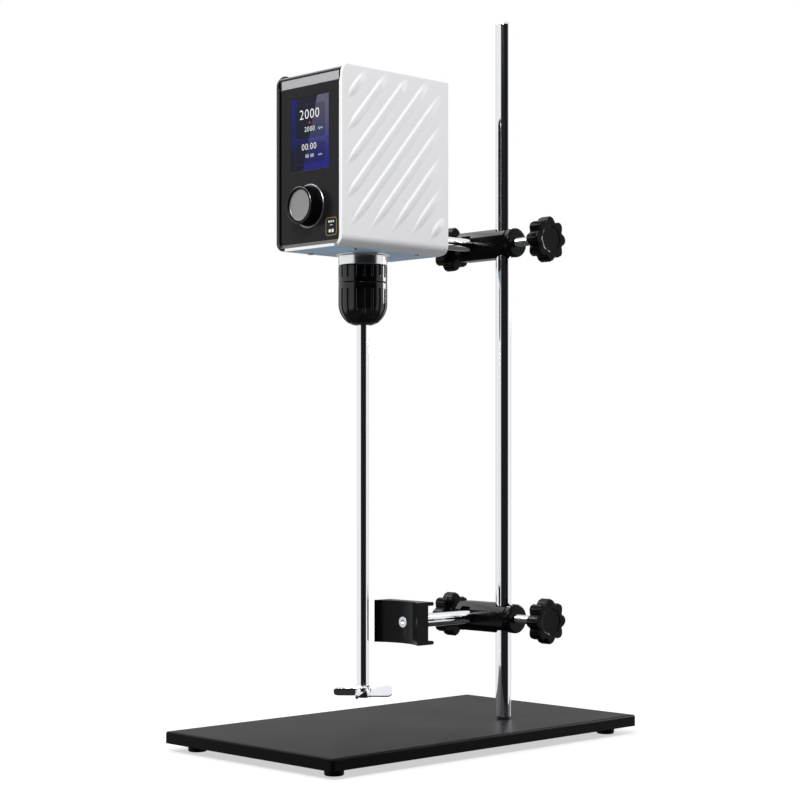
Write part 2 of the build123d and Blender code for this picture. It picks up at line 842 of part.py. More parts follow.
knob_plane = Plane(
    origin=(arm_x, head_front_y + knob_rear, head_bottom_z + knob_height),
    x_dir=RIGHT,
    z_dir=FRONT,
)
with BuildPart() as speed_knob:
    with BuildSketch(knob_plane):
        Circle(knob_diameter / 2)
    with BuildSketch(knob_plane.offset(knob_depth)):
        Circle(knob_front_diameter / 2)
    loft()
    chamfer(speed_knob.faces().sort_by(Axis.Y)[0].edges(), knob_edge)
    with BuildSketch(knob_plane.offset(knob_depth)):
        Circle(cap_diameter / 2 + seat_gap)
    extrude(amount=-cap_sink - cap_depth, mode=Mode.SUBTRACT)
    with BuildSketch(knob_plane):
        Circle(encoder_shaft_diameter / 2 + run_fit)
    extrude(amount=knob_rear - knob_socket + run_fit, mode=Mode.SUBTRACT)
    with BuildSketch(knob_plane):
        with PolarLocations(knob_diameter / 2 + knob_flute_offset, knob_flutes):
            Circle(knob_flute_diameter / 2)
    extrude(amount=knob_depth - cap_sink, mode=Mode.SUBTRACT)
speed_knob.part.label = "speed_knob"
export_step(speed_knob.part, "parts/speed_knob.step")

with BuildPart() as knob_cap:
    with BuildSketch(knob_plane.offset(knob_depth - cap_sink - cap_depth)):
        Circle(cap_diameter / 2)
    extrude(amount=cap_depth)
    chamfer(knob_cap.faces().sort_by(Axis.Y)[0].edges(), cap_edge)
knob_cap.part.label = "knob_cap"
export_step(knob_cap.part, "parts/knob_cap.step")

ring_inner = knob_diameter + 2 * loose_fit
with BuildPart() as knob_ring:
    with BuildSketch(front_plane(panel_face)):
        with Locations((0, knob_height)):
            Circle(ring_diameter / 2)
            Circle(ring_inner / 2, mode=Mode.SUBTRACT)
    extrude(amount=ring_thickness)
    chamfer(knob_ring.faces().sort_by(Axis.Y)[0].edges().sort_by(SortBy.LENGTH)[-1], ring_thickness / 2)
knob_ring.part.label = "knob_ring"
export_step(knob_ring.part, "parts/knob_ring.step")

# ---------------------------------------------------------------- chassis and drive
chassis_front_y = head_front_y + chassis_front
chassis_rear_y = head_back_y - cover_thickness - cover_inset - seat_gap
chassis_depth = chassis_rear_y - chassis_front_y
lower_bearing_low = chassis_top - lower_bearing_width
with BuildPart() as chassis:
    with BuildSketch(level_plane(chassis_low)):
        with Locations((0, (chassis_front_y + chassis_rear_y) / 2 - shaft_y)):
            Rectangle(2 * (opening_half - frame_low_radius + frame_wall - chassis_margin), chassis_depth)
    extrude(amount=chassis_thickness)
    with BuildSketch(level_plane(0)):
        Circle(hub_diameter / 2)
    extrude(amount=chassis_low)
    with BuildSketch(level_plane(chassis_top)):
        with Locations((0, chassis_rear_y - shaft_y - arm_grip / 2 + seat_gap)):
            Rectangle(block_width, arm_grip - cover_thickness)
    extrude(amount=block_height - chassis_top)
    with BuildSketch(level_plane(lower_bearing_low)):
        Circle(lower_bearing_outer / 2 + run_fit)
    extrude(amount=chassis_top, mode=Mode.SUBTRACT)
    with BuildSketch(level_plane(0)):
        Circle(shoulder_diameter / 2)
    extrude(amount=chassis_top, mode=Mode.SUBTRACT)
    with BuildSketch(arm_start):
        Circle(arm_diameter / 2 + run_fit)
    extrude(amount=arm_grip, mode=Mode.SUBTRACT)
    with BuildSketch(level_plane(0)):
        with Locations(*bottom_points):
            Circle(cover_screw_diameter / 2 + run_fit)
    extrude(amount=chassis_top, mode=Mode.SUBTRACT)
chassis.part.label = "chassis"
export_step(chassis.part, "parts/chassis.step")

motor_base = chassis_top
motor_top = motor_base + motor_height
upper_bearing_low = motor_top - upper_bearing_width
bearings = (
    ("lower_bearing", lower_bearing_outer, spindle_diameter, lower_bearing_low, lower_bearing_width),
    ("upper_bearing", upper_bearing_outer, spindle_top_diameter, upper_bearing_low, upper_bearing_width),
)
for name, outer, inner, low, width in bearings:
    race_step = (outer - inner) * race_share
    shield = width * shield_share
    with BuildPart() as bearing:
        with BuildSketch(level_plane(low)):
            Circle(outer / 2)
            Circle(inner / 2 + run_fit, mode=Mode.SUBTRACT)
        extrude(amount=width)
        for face_plane, way in ((level_plane(low), 1), (level_plane(low + width), -1)):
            with BuildSketch(face_plane):
                Circle(outer / 2 - race_step)
                Circle(inner / 2 + race_step, mode=Mode.SUBTRACT)
            extrude(amount=way * shield, mode=Mode.SUBTRACT)
    bearing.part.label = name
    export_step(bearing.part, "parts/" + name + ".step")

motor_bore = motor_diameter / 2 - motor_wall
with BuildPart() as motor_can:
    with BuildSketch(level_plane(motor_base)):
        Circle(motor_diameter / 2)
    extrude(amount=motor_height)
    chamfer(motor_can.faces().sort_by(Axis.Z)[-1].edges(), motor_wall)
    with BuildSketch(level_plane(motor_base)):
        Circle(motor_bore)
    extrude(amount=motor_height - motor_cap, mode=Mode.SUBTRACT)
    with BuildSketch(level_plane(upper_bearing_low)):
        Circle(upper_bearing_outer / 2 + run_fit)
    extrude(amount=upper_bearing_width, mode=Mode.SUBTRACT)
    with BuildSketch(level_plane(motor_base)):
        Circle(spindle_top_diameter / 2 + loose_fit)
    extrude(amount=motor_height, mode=Mode.SUBTRACT)
motor_can.part.label = "motor_can"
export_step(motor_can.part, "parts/motor_can.step")

stator_base = motor_base + stator_low
with BuildPart() as stator:
    with BuildSketch(level_plane(stator_base)):
        Circle(motor_bore - seat_gap)
        Circle(stator_bore / 2, mode=Mode.SUBTRACT)
        with PolarLocations(stator_bore / 2 - slot_mouth, stator_slots):
            Rectangle(
                slot_mouth + slot_depth,
                slot_width,
                align=(Align.MIN, Align.CENTER),
                mode=Mode.SUBTRACT,
            )
    extrude(amount=stator_height)
stator.part.label = "stator"
export_step(stator.part, "parts/stator.step")

rotor_half = stator_bore / 2 - air_gap
with BuildPart() as rotor:
    with BuildSketch(level_plane(stator_base)):
        Circle(rotor_half)
        Circle(spindle_top_diameter / 2 + run_fit, mode=Mode.SUBTRACT)
    extrude(amount=stator_height)
rotor.part.label = "rotor"
export_step(rotor.part, "parts/rotor.step")

collar_low = -collar_flange_height - collar_height
chuck_top = collar_low - chuck_gap
spindle_low = chuck_top - spindle_nose
shoulder_low = chassis_top + seat_gap
with BuildPart() as spindle:
    with BuildSketch(turning_plane):
        with BuildLine():
            Polyline(
                (spindle_bore / 2, spindle_low),
                (spindle_diameter / 2, spindle_low),
                (spindle_diameter / 2, shoulder_low),
                (shoulder_diameter / 2, shoulder_low),
                (shoulder_diameter / 2, stator_base - seat_gap),
                (spindle_top_diameter / 2, stator_base - seat_gap),
                (spindle_top_diameter / 2, motor_top + shoulder_height),
                (spindle_bore / 2, motor_top + shoulder_height),
                close=True,
            )
        make_face()
    revolve(axis=spindle_axis)
spindle.part.label = "spindle"
export_step(spindle.part, "parts/spindle.step")

with BuildPart() as nose_collar:
    with BuildSketch(turning_plane):
        with BuildLine():
            Polyline(
                (spindle_diameter / 2 + loose_fit, collar_low),
                (collar_diameter / 2, collar_low),
                (collar_diameter / 2, -collar_flange_height),
                (collar_flange_diameter / 2, -collar_flange_height),
                (collar_flange_diameter / 2, 0),
                (spindle_diameter / 2 + loose_fit, 0),
                close=True,
            )
        make_face()
    revolve(axis=spindle_axis)
nose_collar.part.label = "nose_collar"
export_step(nose_collar.part, "parts/nose_collar.step")

# ---------------------------------------------------------------- keyless chuck
split_low = chuck_top - rear_sleeve_height
front_top = split_low - chuck_gap
front_low = front_top - front_sleeve_height
jaw_low = front_low + jaw_lift
core_radius = chuck_core_diameter / 2
nose_half = chuck_nose_diameter / 2
seat_half = chuck_seat_diameter / 2
seat_low = front_top - chuck_seat_height
socket_low_z = spindle_low - seat_gap
nose_top = jaw_low + chuck_nose_height
groove_ring = chuck_diameter / 2 + groove_offset
taper_top = (chuck_diameter / 2, front_top - front_ribs_start - front_ribs_height)
taper_end = (taper_end_diameter / 2, front_low + taper_end_height)
taper_run = taper_top[0] - taper_end[0]
taper_drop = taper_top[1] - taper_end[1]


def jaw_plane(index, lift):
    """Plane square to one jaw's slanted axis, lift along it from the jaw's foot."""
    turn = radians(360 / jaw_count * index + jaw_start)
    lean = radians(jaw_tilt)
    slope = (sin(lean) * cos(turn), sin(lean) * sin(turn), cos(lean))
    foot = (
        arm_x + jaw_radius * cos(turn),
        shaft_y + jaw_radius * sin(turn),
        head_bottom_z + jaw_low,
    )
    return Plane(origin=foot, z_dir=slope).offset(lift)


with BuildPart() as chuck_body:
    with BuildSketch(turning_plane):
        with BuildLine():
            Polyline(
                (spindle_bore / 2, jaw_low),
                (nose_half - chuck_nose_bevel, jaw_low),
                (nose_half, jaw_low + chuck_nose_bevel),
                (nose_half, seat_low),
                (seat_half, seat_low),
                (seat_half, split_low - seat_gap),
                (core_radius, split_low - seat_gap),
                (core_radius, chuck_top - rear_sleeve_cap - seat_gap),
                (spindle_diameter / 2 + run_fit, chuck_top - rear_sleeve_cap - seat_gap),
                (spindle_diameter / 2 + run_fit, socket_low_z),
                (spindle_bore / 2, socket_low_z),
                close=True,
            )
        make_face()
    revolve(axis=spindle_axis)
    for index in range(jaw_count):
        with BuildSketch(jaw_plane(index, -jaw_diameter)):
            Circle(jaw_diameter / 2 + jaw_fit)
        extrude(amount=jaw_diameter + jaw_length + jaw_travel + loose_fit, mode=Mode.SUBTRACT)
chuck_body.part.label = "chuck_body"
export_step(chuck_body.part, "parts/chuck_body.step")

with BuildPart() as chuck_rear_sleeve:
    with BuildSketch(turning_plane):
        with BuildLine():
            Polyline(
                (core_radius + run_fit, split_low),
                (chuck_diameter / 2, split_low),
                (chuck_diameter / 2, chuck_top),
                (spindle_diameter / 2 + run_fit, chuck_top),
                (spindle_diameter / 2 + run_fit, chuck_top - rear_sleeve_cap),
                (core_radius + run_fit, chuck_top - rear_sleeve_cap),
                close=True,
            )
        make_face()
    revolve(axis=spindle_axis)
    with BuildSketch(level_plane(chuck_top)):
        with PolarLocations(groove_ring, grip_grooves):
            Circle(groove_diameter / 2)
    extrude(amount=-rear_ribs_height, mode=Mode.SUBTRACT)
chuck_rear_sleeve.part.label = "chuck_rear_sleeve"
export_step(chuck_rear_sleeve.part, "parts/chuck_rear_sleeve.step")

with BuildPart() as chuck_front_sleeve:
    with BuildSketch(turning_plane):
        with BuildLine():
            ThreePointArc(
                taper_top,
                (taper_middle_diameter / 2, front_low + taper_middle_height),
                taper_end,
            )
            Polyline(
                taper_end,
                (mouth_face_diameter / 2, front_low),
                (mouth_diameter / 2, front_low),
                (mouth_diameter / 2, front_low + mouth_depth),
                (nose_half - chuck_nose_bevel, jaw_low - seat_gap),
                (nose_half + run_fit, jaw_low + chuck_nose_bevel),
                (nose_half + run_fit, nose_top),
                (seat_half + run_fit, nose_top + seat_half - nose_half),
                (seat_half + run_fit, front_top),
                (chuck_diameter / 2, front_top),
                taper_top,
            )
        make_face()
    revolve(axis=spindle_axis)
    with BuildSketch(level_plane(front_top - front_ribs_start)):
        with PolarLocations(groove_ring, grip_grooves):
            Circle(groove_diameter / 2)
    extrude(amount=-front_ribs_height, mode=Mode.SUBTRACT)
    for index in range(grip_grooves):
        turn = radians(360 / grip_grooves * index)
        groove_plane = Plane(
            origin=(
                arm_x + groove_ring * cos(turn),
                shaft_y + groove_ring * sin(turn),
                head_bottom_z + taper_top[1],
            ),
            z_dir=(-taper_run * cos(turn), -taper_run * sin(turn), -taper_drop),
        )
        with BuildSketch(groove_plane):
            Circle(groove_diameter / 2)
        extrude(amount=taper_drop + taper_run, mode=Mode.SUBTRACT)
chuck_front_sleeve.part.label = "chuck_front_sleeve"
export_step(chuck_front_sleeve.part, "parts/chuck_front_sleeve.step")

for index in range(jaw_count):
    with BuildPart() as jaw:
        with BuildSketch(jaw_plane(index, -jaw_diameter)):
            Circle(jaw_diameter / 2)
        extrude(amount=jaw_diameter + jaw_length)
        with BuildSketch(level_plane(jaw_low)):
            Circle(chuck_diameter / 2)
        extrude(amount=-2 * jaw_diameter, mode=Mode.SUBTRACT)
        with BuildSketch(level_plane(jaw_low)):
            Circle(tool_diameter / 2 + jaw_fit)
        extrude(amount=jaw_length, mode=Mode.SUBTRACT)
    jaw.part.label = "jaw_" + str(index + 1)
    export_step(jaw.part, "parts/jaw_" + str(index + 1) + ".step")

# ---------------------------------------------------------------- stirring tool
tool_foot = Plane(origin=(arm_x, shaft_y, tool_bottom), x_dir=RIGHT, z_dir=UP)
with BuildPart() as stirring_shaft:
    with BuildSketch(tool_foot):
        Circle(tool_diameter / 2)
    extrude(amount=head_bottom_z + tool_inside_head - tool_bottom)
    chamfer(stirring_shaft.faces().sort_by(Axis.Z)[-1].edges(), arm_chamfer)
stirring_shaft.part.label = "stirring_shaft"
export_step(stirring_shaft.part, "parts/stirring_shaft.step")

blade_reach = propeller_diameter / 2
with BuildPart() as propeller:
    with BuildSketch(tool_foot):
        Circle(propeller_hub_diameter / 2)
    extrude(amount=propeller_hub_height)
    chamfer(propeller.faces().sort_by(Axis.Z)[-1].edges(), blade_thickness)
    for index in range(propeller_blades):
        turn = radians(360 / propeller_blades * index + blade_start)
        pitch = radians(blade_pitch)
        radial = (cos(turn), sin(turn), 0)
        face_normal = (sin(pitch) * sin(turn), -sin(pitch) * cos(turn), cos(pitch))
        hub_middle = (arm_x, shaft_y, tool_bottom + propeller_hub_height / 2)
        with BuildSketch(Plane(origin=hub_middle, x_dir=radial, z_dir=face_normal)) as blade:
            Rectangle(blade_reach, blade_width, align=(Align.MIN, Align.CENTER))
            fillet(blade.vertices().sort_by(Axis.X)[-2:], blade_corner)
        extrude(amount=blade_thickness / 2, both=True)
    with BuildSketch(tool_foot.offset(-blade_width)):
        Circle(tool_diameter / 2 + run_fit)
    extrude(amount=propeller_hub_height + 2 * blade_width, mode=Mode.SUBTRACT)
propeller.part.label = "propeller"
export_step(propeller.part, "parts/propeller.step")

# ---------------------------------------------------------------- vessel saddle
saddle_back = saddle_radius + saddle_web + saddle_flange_depth
saddle_plane = Plane(origin=(arm_x, shaft_y, lower_height - saddle_height / 2), x_dir=RIGHT, z_dir=UP)
saddle_front = Plane(origin=(arm_x, shaft_y, lower_height), x_dir=RIGHT, z_dir=FRONT)
web_back = saddle_radius + saddle_web
with BuildPart() as vessel_saddle:
    with BuildSketch(saddle_plane):
        Rectangle(2 * saddle_half_width, saddle_back, align=(Align.CENTER, Align.MIN))
        Circle(saddle_radius, mode=Mode.SUBTRACT)
    extrude(amount=saddle_height)
    with BuildSketch(saddle_plane.offset(saddle_flange)):
        with Locations((0, web_back)):
            Rectangle(2 * saddle_half_width, saddle_flange_depth, align=(Align.CENTER, Align.MIN))
    extrude(amount=saddle_height - 2 * saddle_flange, mode=Mode.SUBTRACT)
    with BuildSketch(saddle_front.offset(-saddle_back)):
        Circle(saddle_boss_diameter / 2)
    extrude(amount=saddle_flange_depth)
    chamfer(vessel_saddle.edges().filter_by(Axis.X).group_by(Axis.Y)[-1], saddle_edge)
    with BuildSketch(saddle_front.offset(-saddle_back)):
        Circle(arm_diameter / 2 + run_fit)
    extrude(amount=saddle_flange_depth, mode=Mode.SUBTRACT)
    with BuildSketch(saddle_front.offset(-web_back)):
        Circle(saddle_screw_diameter / 2 + run_fit)
    extrude(amount=saddle_web, mode=Mode.SUBTRACT)
    with BuildSketch(saddle_front.offset(-saddle_radius - saddle_screw_head_height)):
        Circle(saddle_screw_head / 2 + loose_fit)
    extrude(amount=saddle_web, mode=Mode.SUBTRACT)
vessel_saddle.part.label = "vessel_saddle"
export_step(vessel_saddle.part, "parts/vessel_saddle.step")

saddle_arm_start = Plane(
    origin=(arm_x, shaft_y + web_back, lower_height),
    x_dir=RIGHT,
    z_dir=BACK,
)
with BuildPart() as saddle_rod:
    with BuildSketch(saddle_arm_start):
        Circle(arm_diameter / 2)
    extrude(amount=stand_y + arm_tail - shaft_y - web_back)
    chamfer(saddle_rod.faces().sort_by(Axis.Y)[-1].edges(), arm_chamfer)
    with BuildSketch(saddle_arm_start):
        Circle(saddle_screw_diameter / 2 + run_fit)
    extrude(amount=saddle_screw_reach + run_fit, mode=Mode.SUBTRACT)
saddle_rod.part.label = "saddle_rod"
export_step(saddle_rod.part, "parts/saddle_rod.step")

with BuildPart() as saddle_screw:
    with BuildSketch(saddle_arm_start):
        Circle(saddle_screw_diameter / 2)
    extrude(amount=saddle_screw_reach)
    with BuildSketch(saddle_front.offset(-web_back)):
        Circle(saddle_screw_diameter / 2)
    extrude(amount=saddle_web - saddle_screw_head_height)
    with BuildSketch(saddle_front.offset(-saddle_radius - saddle_screw_head_height)):
        Circle(saddle_screw_head / 2)
    extrude(amount=saddle_screw_head_height - seat_gap)
    with BuildSketch(saddle_front.offset(-saddle_radius - saddle_screw_head_height / 2)):
        RegularPolygon(saddle_screw_socket / 2, 6, major_radius=False)
    extrude(amount=saddle_screw_head_height, mode=Mode.SUBTRACT)
saddle_screw.part.label = "saddle_screw"
export_step(saddle_screw.part, "parts/saddle_screw.step")

# ---------------------------------------------------------------- rear cover and mains inlet
cover_low = frame_floor + seat_gap
cover_high = frame_ceiling - seat_gap
inlet_middle = inlet_low + inlet_height / 2
with BuildPart() as rear_cover:
    with BuildSketch(front_plane(head_depth)) as outline:
        with Locations((0, cover_low)):
            Rectangle(bezel_width, cover_high - cover_low, align=(Align.CENTER, Align.MIN))
        fillet(outline.vertices().sort_by(Axis.Y)[:2], frame_low_radius - frame_wall)
        with Locations((0, head_drop)):
            Circle(arm_diameter / 2 + loose_fit, mode=Mode.SUBTRACT)
        with Locations((0, inlet_middle)):
            Rectangle(
                inlet_body_width + 2 * seat_gap,
                inlet_body_height + 2 * seat_gap,
                mode=Mode.SUBTRACT,
            )
        with Locations((0, vent_low + vent_pitch * (vent_count - 1) / 2)):
            with GridLocations(0, vent_pitch, 1, vent_count):
                SlotOverall(vent_width, vent_height, mode=Mode.SUBTRACT)
        with Locations(*post_points):
            Circle(cover_screw_diameter / 2 + run_fit, mode=Mode.SUBTRACT)
    extrude(amount=cover_thickness)
    with BuildSketch(front_plane(head_depth)):
        with Locations(*post_points):
            Circle(cover_head_diameter / 2 + loose_fit)
    extrude(amount=cover_thickness / 2, mode=Mode.SUBTRACT)
rear_cover.part.label = "rear_cover"
export_step(rear_cover.part, "parts/rear_cover.step")

with BuildPart() as rear_screws:
    with BuildSketch(front_plane(head_depth - cover_thickness / 2)):
        with Locations(*post_points):
            Circle(cover_head_diameter / 2)
    extrude(amount=-cover_head_height)
    with BuildSketch(front_plane(head_depth - cover_thickness / 2)):
        with Locations(*post_points):
            Circle(cover_screw_diameter / 2)
    extrude(amount=cover_screw_reach)
rear_screws.part.label = "rear_screws"
export_step(rear_screws.part, "parts/rear_screws.step")

inlet_face = head_depth + inlet_flange
socket_middle = inlet_low + socket_low + socket_height / 2
rocker_level = inlet_low + rocker_middle
rocker_half = rocker_height / 2
rocker_room = sqrt((rocker_pivot + rocker_tip) ** 2 + rocker_half**2) + loose_fit
rocker_pivot_point = (arm_x, head_front_y + inlet_face - rocker_pivot, head_bottom_z + rocker_level)
with BuildPart() as power_inlet:
    with BuildSketch(front_plane(head_depth)):
        with Locations((0, inlet_middle)):
            RectangleRounded(inlet_width, inlet_height, inlet_flange)
    extrude(amount=-inlet_flange)
    with BuildSketch(front_plane(head_depth)):
        with Locations((0, inlet_middle)):
            Rectangle(inlet_body_width, inlet_body_height)
    extrude(amount=inlet_body_depth)
    with BuildSketch(front_plane(inlet_face)) as mouth:
        with Locations((0, socket_middle)):
            Rectangle(socket_width, socket_height)
        chamfer(mouth.vertices().sort_by(Axis.Y)[-2:], socket_bevel)
    extrude(amount=socket_depth, mode=Mode.SUBTRACT)
    with BuildSketch(front_plane(inlet_face)):
        with Locations((0, rocker_level)):
            Rectangle(rocker_width + 2 * loose_fit, 2 * rocker_room)
    extrude(amount=rocker_depth, mode=Mode.SUBTRACT)
    with BuildSketch(Plane(origin=rocker_pivot_point, x_dir=BACK, z_dir=RIGHT)):
        Circle(rocker_pin_diameter / 2 + run_fit)
    extrude(
        amount=rocker_width / 2 + rocker_pin_reach + run_fit,
        both=True,
        mode=Mode.SUBTRACT,
    )
power_inlet.part.label = "power_inlet"
export_step(power_inlet.part, "parts/power_inlet.step")

pin_points = (
    (0, socket_middle + pin_offset / 2),
    (-pin_spread, socket_middle - pin_offset / 2),
    (pin_spread, socket_middle - pin_offset / 2),
)
with BuildPart() as inlet_pins:
    with BuildSketch(front_plane(inlet_face - socket_depth)):
        with Locations(*pin_points):
            Rectangle(pin_width, pin_height)
    extrude(amount=-pin_length)
inlet_pins.part.label = "inlet_pins"
export_step(inlet_pins.part, "parts/inlet_pins.step")

tilt = radians(rocker_tilt)
rocker_plane = Plane(origin=rocker_pivot_point, x_dir=(0, cos(tilt), -sin(tilt)), z_dir=RIGHT)
with BuildPart() as power_rocker:
    with BuildSketch(rocker_plane):
        Polygon(
            (rocker_pivot + rocker_tip, rocker_half),
            (rocker_pivot + rocker_waist, 0),
            (rocker_pivot + rocker_tip, -rocker_half),
            (-rocker_back, -rocker_back_height / 2),
            (-rocker_back, rocker_back_height / 2),
            align=None,
        )
    extrude(amount=rocker_width / 2, both=True)
    with BuildSketch(rocker_plane):
        Circle(rocker_pin_diameter / 2)
    extrude(amount=rocker_width / 2 + rocker_pin_reach, both=True)
power_rocker.part.label = "power_rocker"
export_step(power_rocker.part, "parts/power_rocker.step")
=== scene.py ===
import json
import math

import bmesh
import bpy
import numpy as np
from mathutils import Matrix, Vector


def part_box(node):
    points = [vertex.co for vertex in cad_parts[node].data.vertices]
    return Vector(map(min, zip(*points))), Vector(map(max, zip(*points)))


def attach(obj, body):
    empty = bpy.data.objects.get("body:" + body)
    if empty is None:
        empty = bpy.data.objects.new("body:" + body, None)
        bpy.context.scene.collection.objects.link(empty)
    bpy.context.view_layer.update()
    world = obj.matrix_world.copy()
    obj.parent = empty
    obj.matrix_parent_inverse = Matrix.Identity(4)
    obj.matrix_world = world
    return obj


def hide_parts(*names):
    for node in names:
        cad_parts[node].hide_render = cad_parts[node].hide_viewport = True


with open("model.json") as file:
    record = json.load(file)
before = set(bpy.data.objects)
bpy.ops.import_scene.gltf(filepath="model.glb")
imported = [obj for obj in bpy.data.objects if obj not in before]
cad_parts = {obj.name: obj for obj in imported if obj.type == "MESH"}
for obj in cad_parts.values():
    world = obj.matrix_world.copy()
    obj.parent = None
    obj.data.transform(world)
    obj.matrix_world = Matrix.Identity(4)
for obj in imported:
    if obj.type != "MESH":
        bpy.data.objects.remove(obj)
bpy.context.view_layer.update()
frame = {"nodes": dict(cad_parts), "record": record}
print("frame loaded,", len(frame["nodes"]), "nodes")

mm = 0.001
scene = bpy.context.scene
scene.view_settings.view_transform = "Standard"


# ---- shader helpers

class Wire:
    # one output of a material's nodes; arithmetic on it adds Math nodes
    def __init__(self, owner, socket):
        self.owner = owner
        self.socket = socket

    def math(self, operation, *terms):
        return self.owner.node("ShaderNodeMath", {"operation": operation}, dict(enumerate(terms)))

    def __add__(self, other):
        return self.math("ADD", self, other)

    def __radd__(self, other):
        return self.math("ADD", other, self)

    def __sub__(self, other):
        return self.math("SUBTRACT", self, other)

    def __rsub__(self, other):
        return self.math("SUBTRACT", other, self)

    def __mul__(self, other):
        return self.math("MULTIPLY", self, other)

    def __rmul__(self, other):
        return self.math("MULTIPLY", other, self)

    def __truediv__(self, other):
        return self.math("DIVIDE", self, other)

    def __pow__(self, other):
        return self.math("POWER", self, other)

    def __abs__(self):
        return self.math("ABSOLUTE", self)

    def __gt__(self, other):
        return self.math("GREATER_THAN", self, other)

    def __lt__(self, other):
        return self.math("LESS_THAN", self, other)

    def most(self, other):
        return self.math("MAXIMUM", self, other)

    def least(self, other):
        return self.math("MINIMUM", self, other)

    def ramp(self, low, high):
        # 0 below low, 1 above high, eased between them
        settings = {"interpolation_type": "SMOOTHSTEP"}
        sockets = {"Value": self, "From Min": low, "From Max": high}
        return self.owner.node("ShaderNodeMapRange", settings, sockets)


class Nodes:
    # a node tree, with short ways to add to it
    def __init__(self, tree):
        self.tree = tree

    def give(self, node, label, value):
        socket = node.inputs[label]
        if isinstance(value, Wire):
            self.tree.links.new(value.socket, socket)
        elif isinstance(value, (tuple, list)) and len(value) == 3 and socket.type == "RGBA":
            socket.default_value = (*value, 1)
        else:
            socket.default_value = value

    def node(self, kind, settings=None, sockets=None, out=0):
        made = self.tree.nodes.new(kind)
        for label, value in (settings or {}).items():
            setattr(made, label, value)
        for label, value in (sockets or {}).items():
            self.give(made, label, value)
        return Wire(self, made.outputs[out])

    def split(self, vector):
        # the vector's x, y and z as three numbers
        parts = self.node("ShaderNodeSeparateXYZ", sockets={"Vector": vector}).socket.node
        return [Wire(self, parts.outputs[label]) for label in "XYZ"]

    def mix(self, share, first, second):
        # the first colour where share is 0, the second where it is 1
        sockets = {"Factor": share, 6: first, 7: second}
        return self.node("ShaderNodeMix", {"data_type": "RGBA"}, sockets, out=2)


class Paint(Nodes):
    # one material, with its surface shader and the nodes that feed it
    def __init__(self, name, **values):
        self.material = bpy.data.materials.new(name)
        self.material.use_nodes = True
        super().__init__(self.material.node_tree)
        self.shader = self.tree.nodes["Principled BSDF"]
        self.wear(**values)

    def wear(self, **values):
        # values and links for the shader's sockets; a label's spaces are written as _
        for label, value in values.items():
            self.give(self.shader, label.replace("_", " "), value)
        return self.material

    def axes(self):
        # the point on the object, in metres, as three numbers
        return self.split(self.node("ShaderNodeTexCoord", out="Object"))

    def place(self, scale=(1, 1, 1)):
        # the point on the object, in metres, stretched by scale
        point = self.node("ShaderNodeTexCoord", out="Object")
        return self.node("ShaderNodeMapping", sockets={"Vector": point, "Scale": scale})

    def noise(self, size, detail=3, stretch=(1, 1, 1)):
        # cloudy noise with features of that size in metres
        sockets = {"Vector": self.place(stretch), "Scale": 1 / size, "Detail": detail}
        return self.node("ShaderNodeTexNoise", sockets=sockets)

    def bump(self, height, depth):
        # depth is the height of the relief in metres
        return self.node("ShaderNodeBump", None, {"Height": height, "Distance": depth})


def around(colour, change):
    # the same colour a little darker and a little lighter
    return tuple(c * (1 - change) for c in colour), tuple(min(1, c * (1 + change)) for c in colour)


# ---- places that several pieces share

collarLow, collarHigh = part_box("nose_collar")
axisX, axisY = (collarLow.x + collarHigh.x) / 2, (collarLow.y + collarHigh.y) / 2
wallHalf = 41.5 * mm
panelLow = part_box("front_panel")[0]
displayLow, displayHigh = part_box("display_module")
screenInset = 3.6 * mm
screen = {
    "left": displayLow.x + screenInset,
    "right": displayHigh.x - screenInset,
    "bottom": displayLow.z + screenInset,
    "top": displayHigh.z - screenInset,
    "face": displayLow.y,
    "ground": (0.0004, 0.0005, 0.005),
    "glow": (0.002, 0.003, 0.17),
    "leftFade": 4.5,
    "bandAt": 0.41,
    "bandFade": 9,
    "glowShares": (0.9, 0.8, 0.35),
    "cards": ((0.52, 0.665, 0.39, 0.232), (0.52, 0.228, 0.39, 0.142)),
    "cardRadius": 2.6 * mm,
    "cardColour": (0.0008, 0.001, 0.004),
    "cardShare": 0.85,
    "lineHalf": 0.28 * mm,
    "lineColour": (0.008, 0.012, 0.14),
    "lineShare": 0.5,
    "glareFoot": 0.32,
    "glareLean": 0.385,
    "glareSoft": 0.2 * mm,
    "glareColours": ((0.012, 0.012, 0.2), (0.13, 0.13, 0.175)),
    "glareShare": 0.75,
    "glareLoss": 0.3,
}


# ---- finishes, one for each material slot of the record

def moulding(paint, colour, roughness, grain, depth, cloud, change):
    # moulded plastic: a slow change of tone, and the links that give it a fine spark-eroded grain
    grainSpread = 0.12
    slow = paint.noise(cloud)
    fine = paint.noise(grain, detail=2)
    tone = paint.mix(slow, *around(colour, change))
    rough = roughness + (fine - 0.5) * grainSpread
    return tone, {"Roughness": rough, "Normal": paint.bump(fine, depth)}


def moulded(name, colour, roughness, specular, grain, depth):
    paint = Paint(name, Specular_IOR_Level=specular)
    tone, skin = moulding(paint, colour, roughness, grain, depth, 40 * mm, 0.12)
    return paint.wear(Base_Color=tone, **skin)


def coated(name, colour, roughness, specular, grain, depth):
    # powder or spray coat: orange peel and finer specks over a slow change of gloss
    paint = Paint(name, Specular_IOR_Level=specular)
    slow = paint.noise(60 * mm)
    peel = paint.noise(grain, detail=2)
    specks = paint.noise(grain / 4, detail=1)
    rough = roughness + (slow - 0.5) * 0.1
    relief = peel * 0.7 + specks * 0.3
    tone = paint.mix(specks, *around(colour, 0.12))
    return paint.wear(Base_Color=tone, Roughness=rough, Normal=paint.bump(relief, depth))


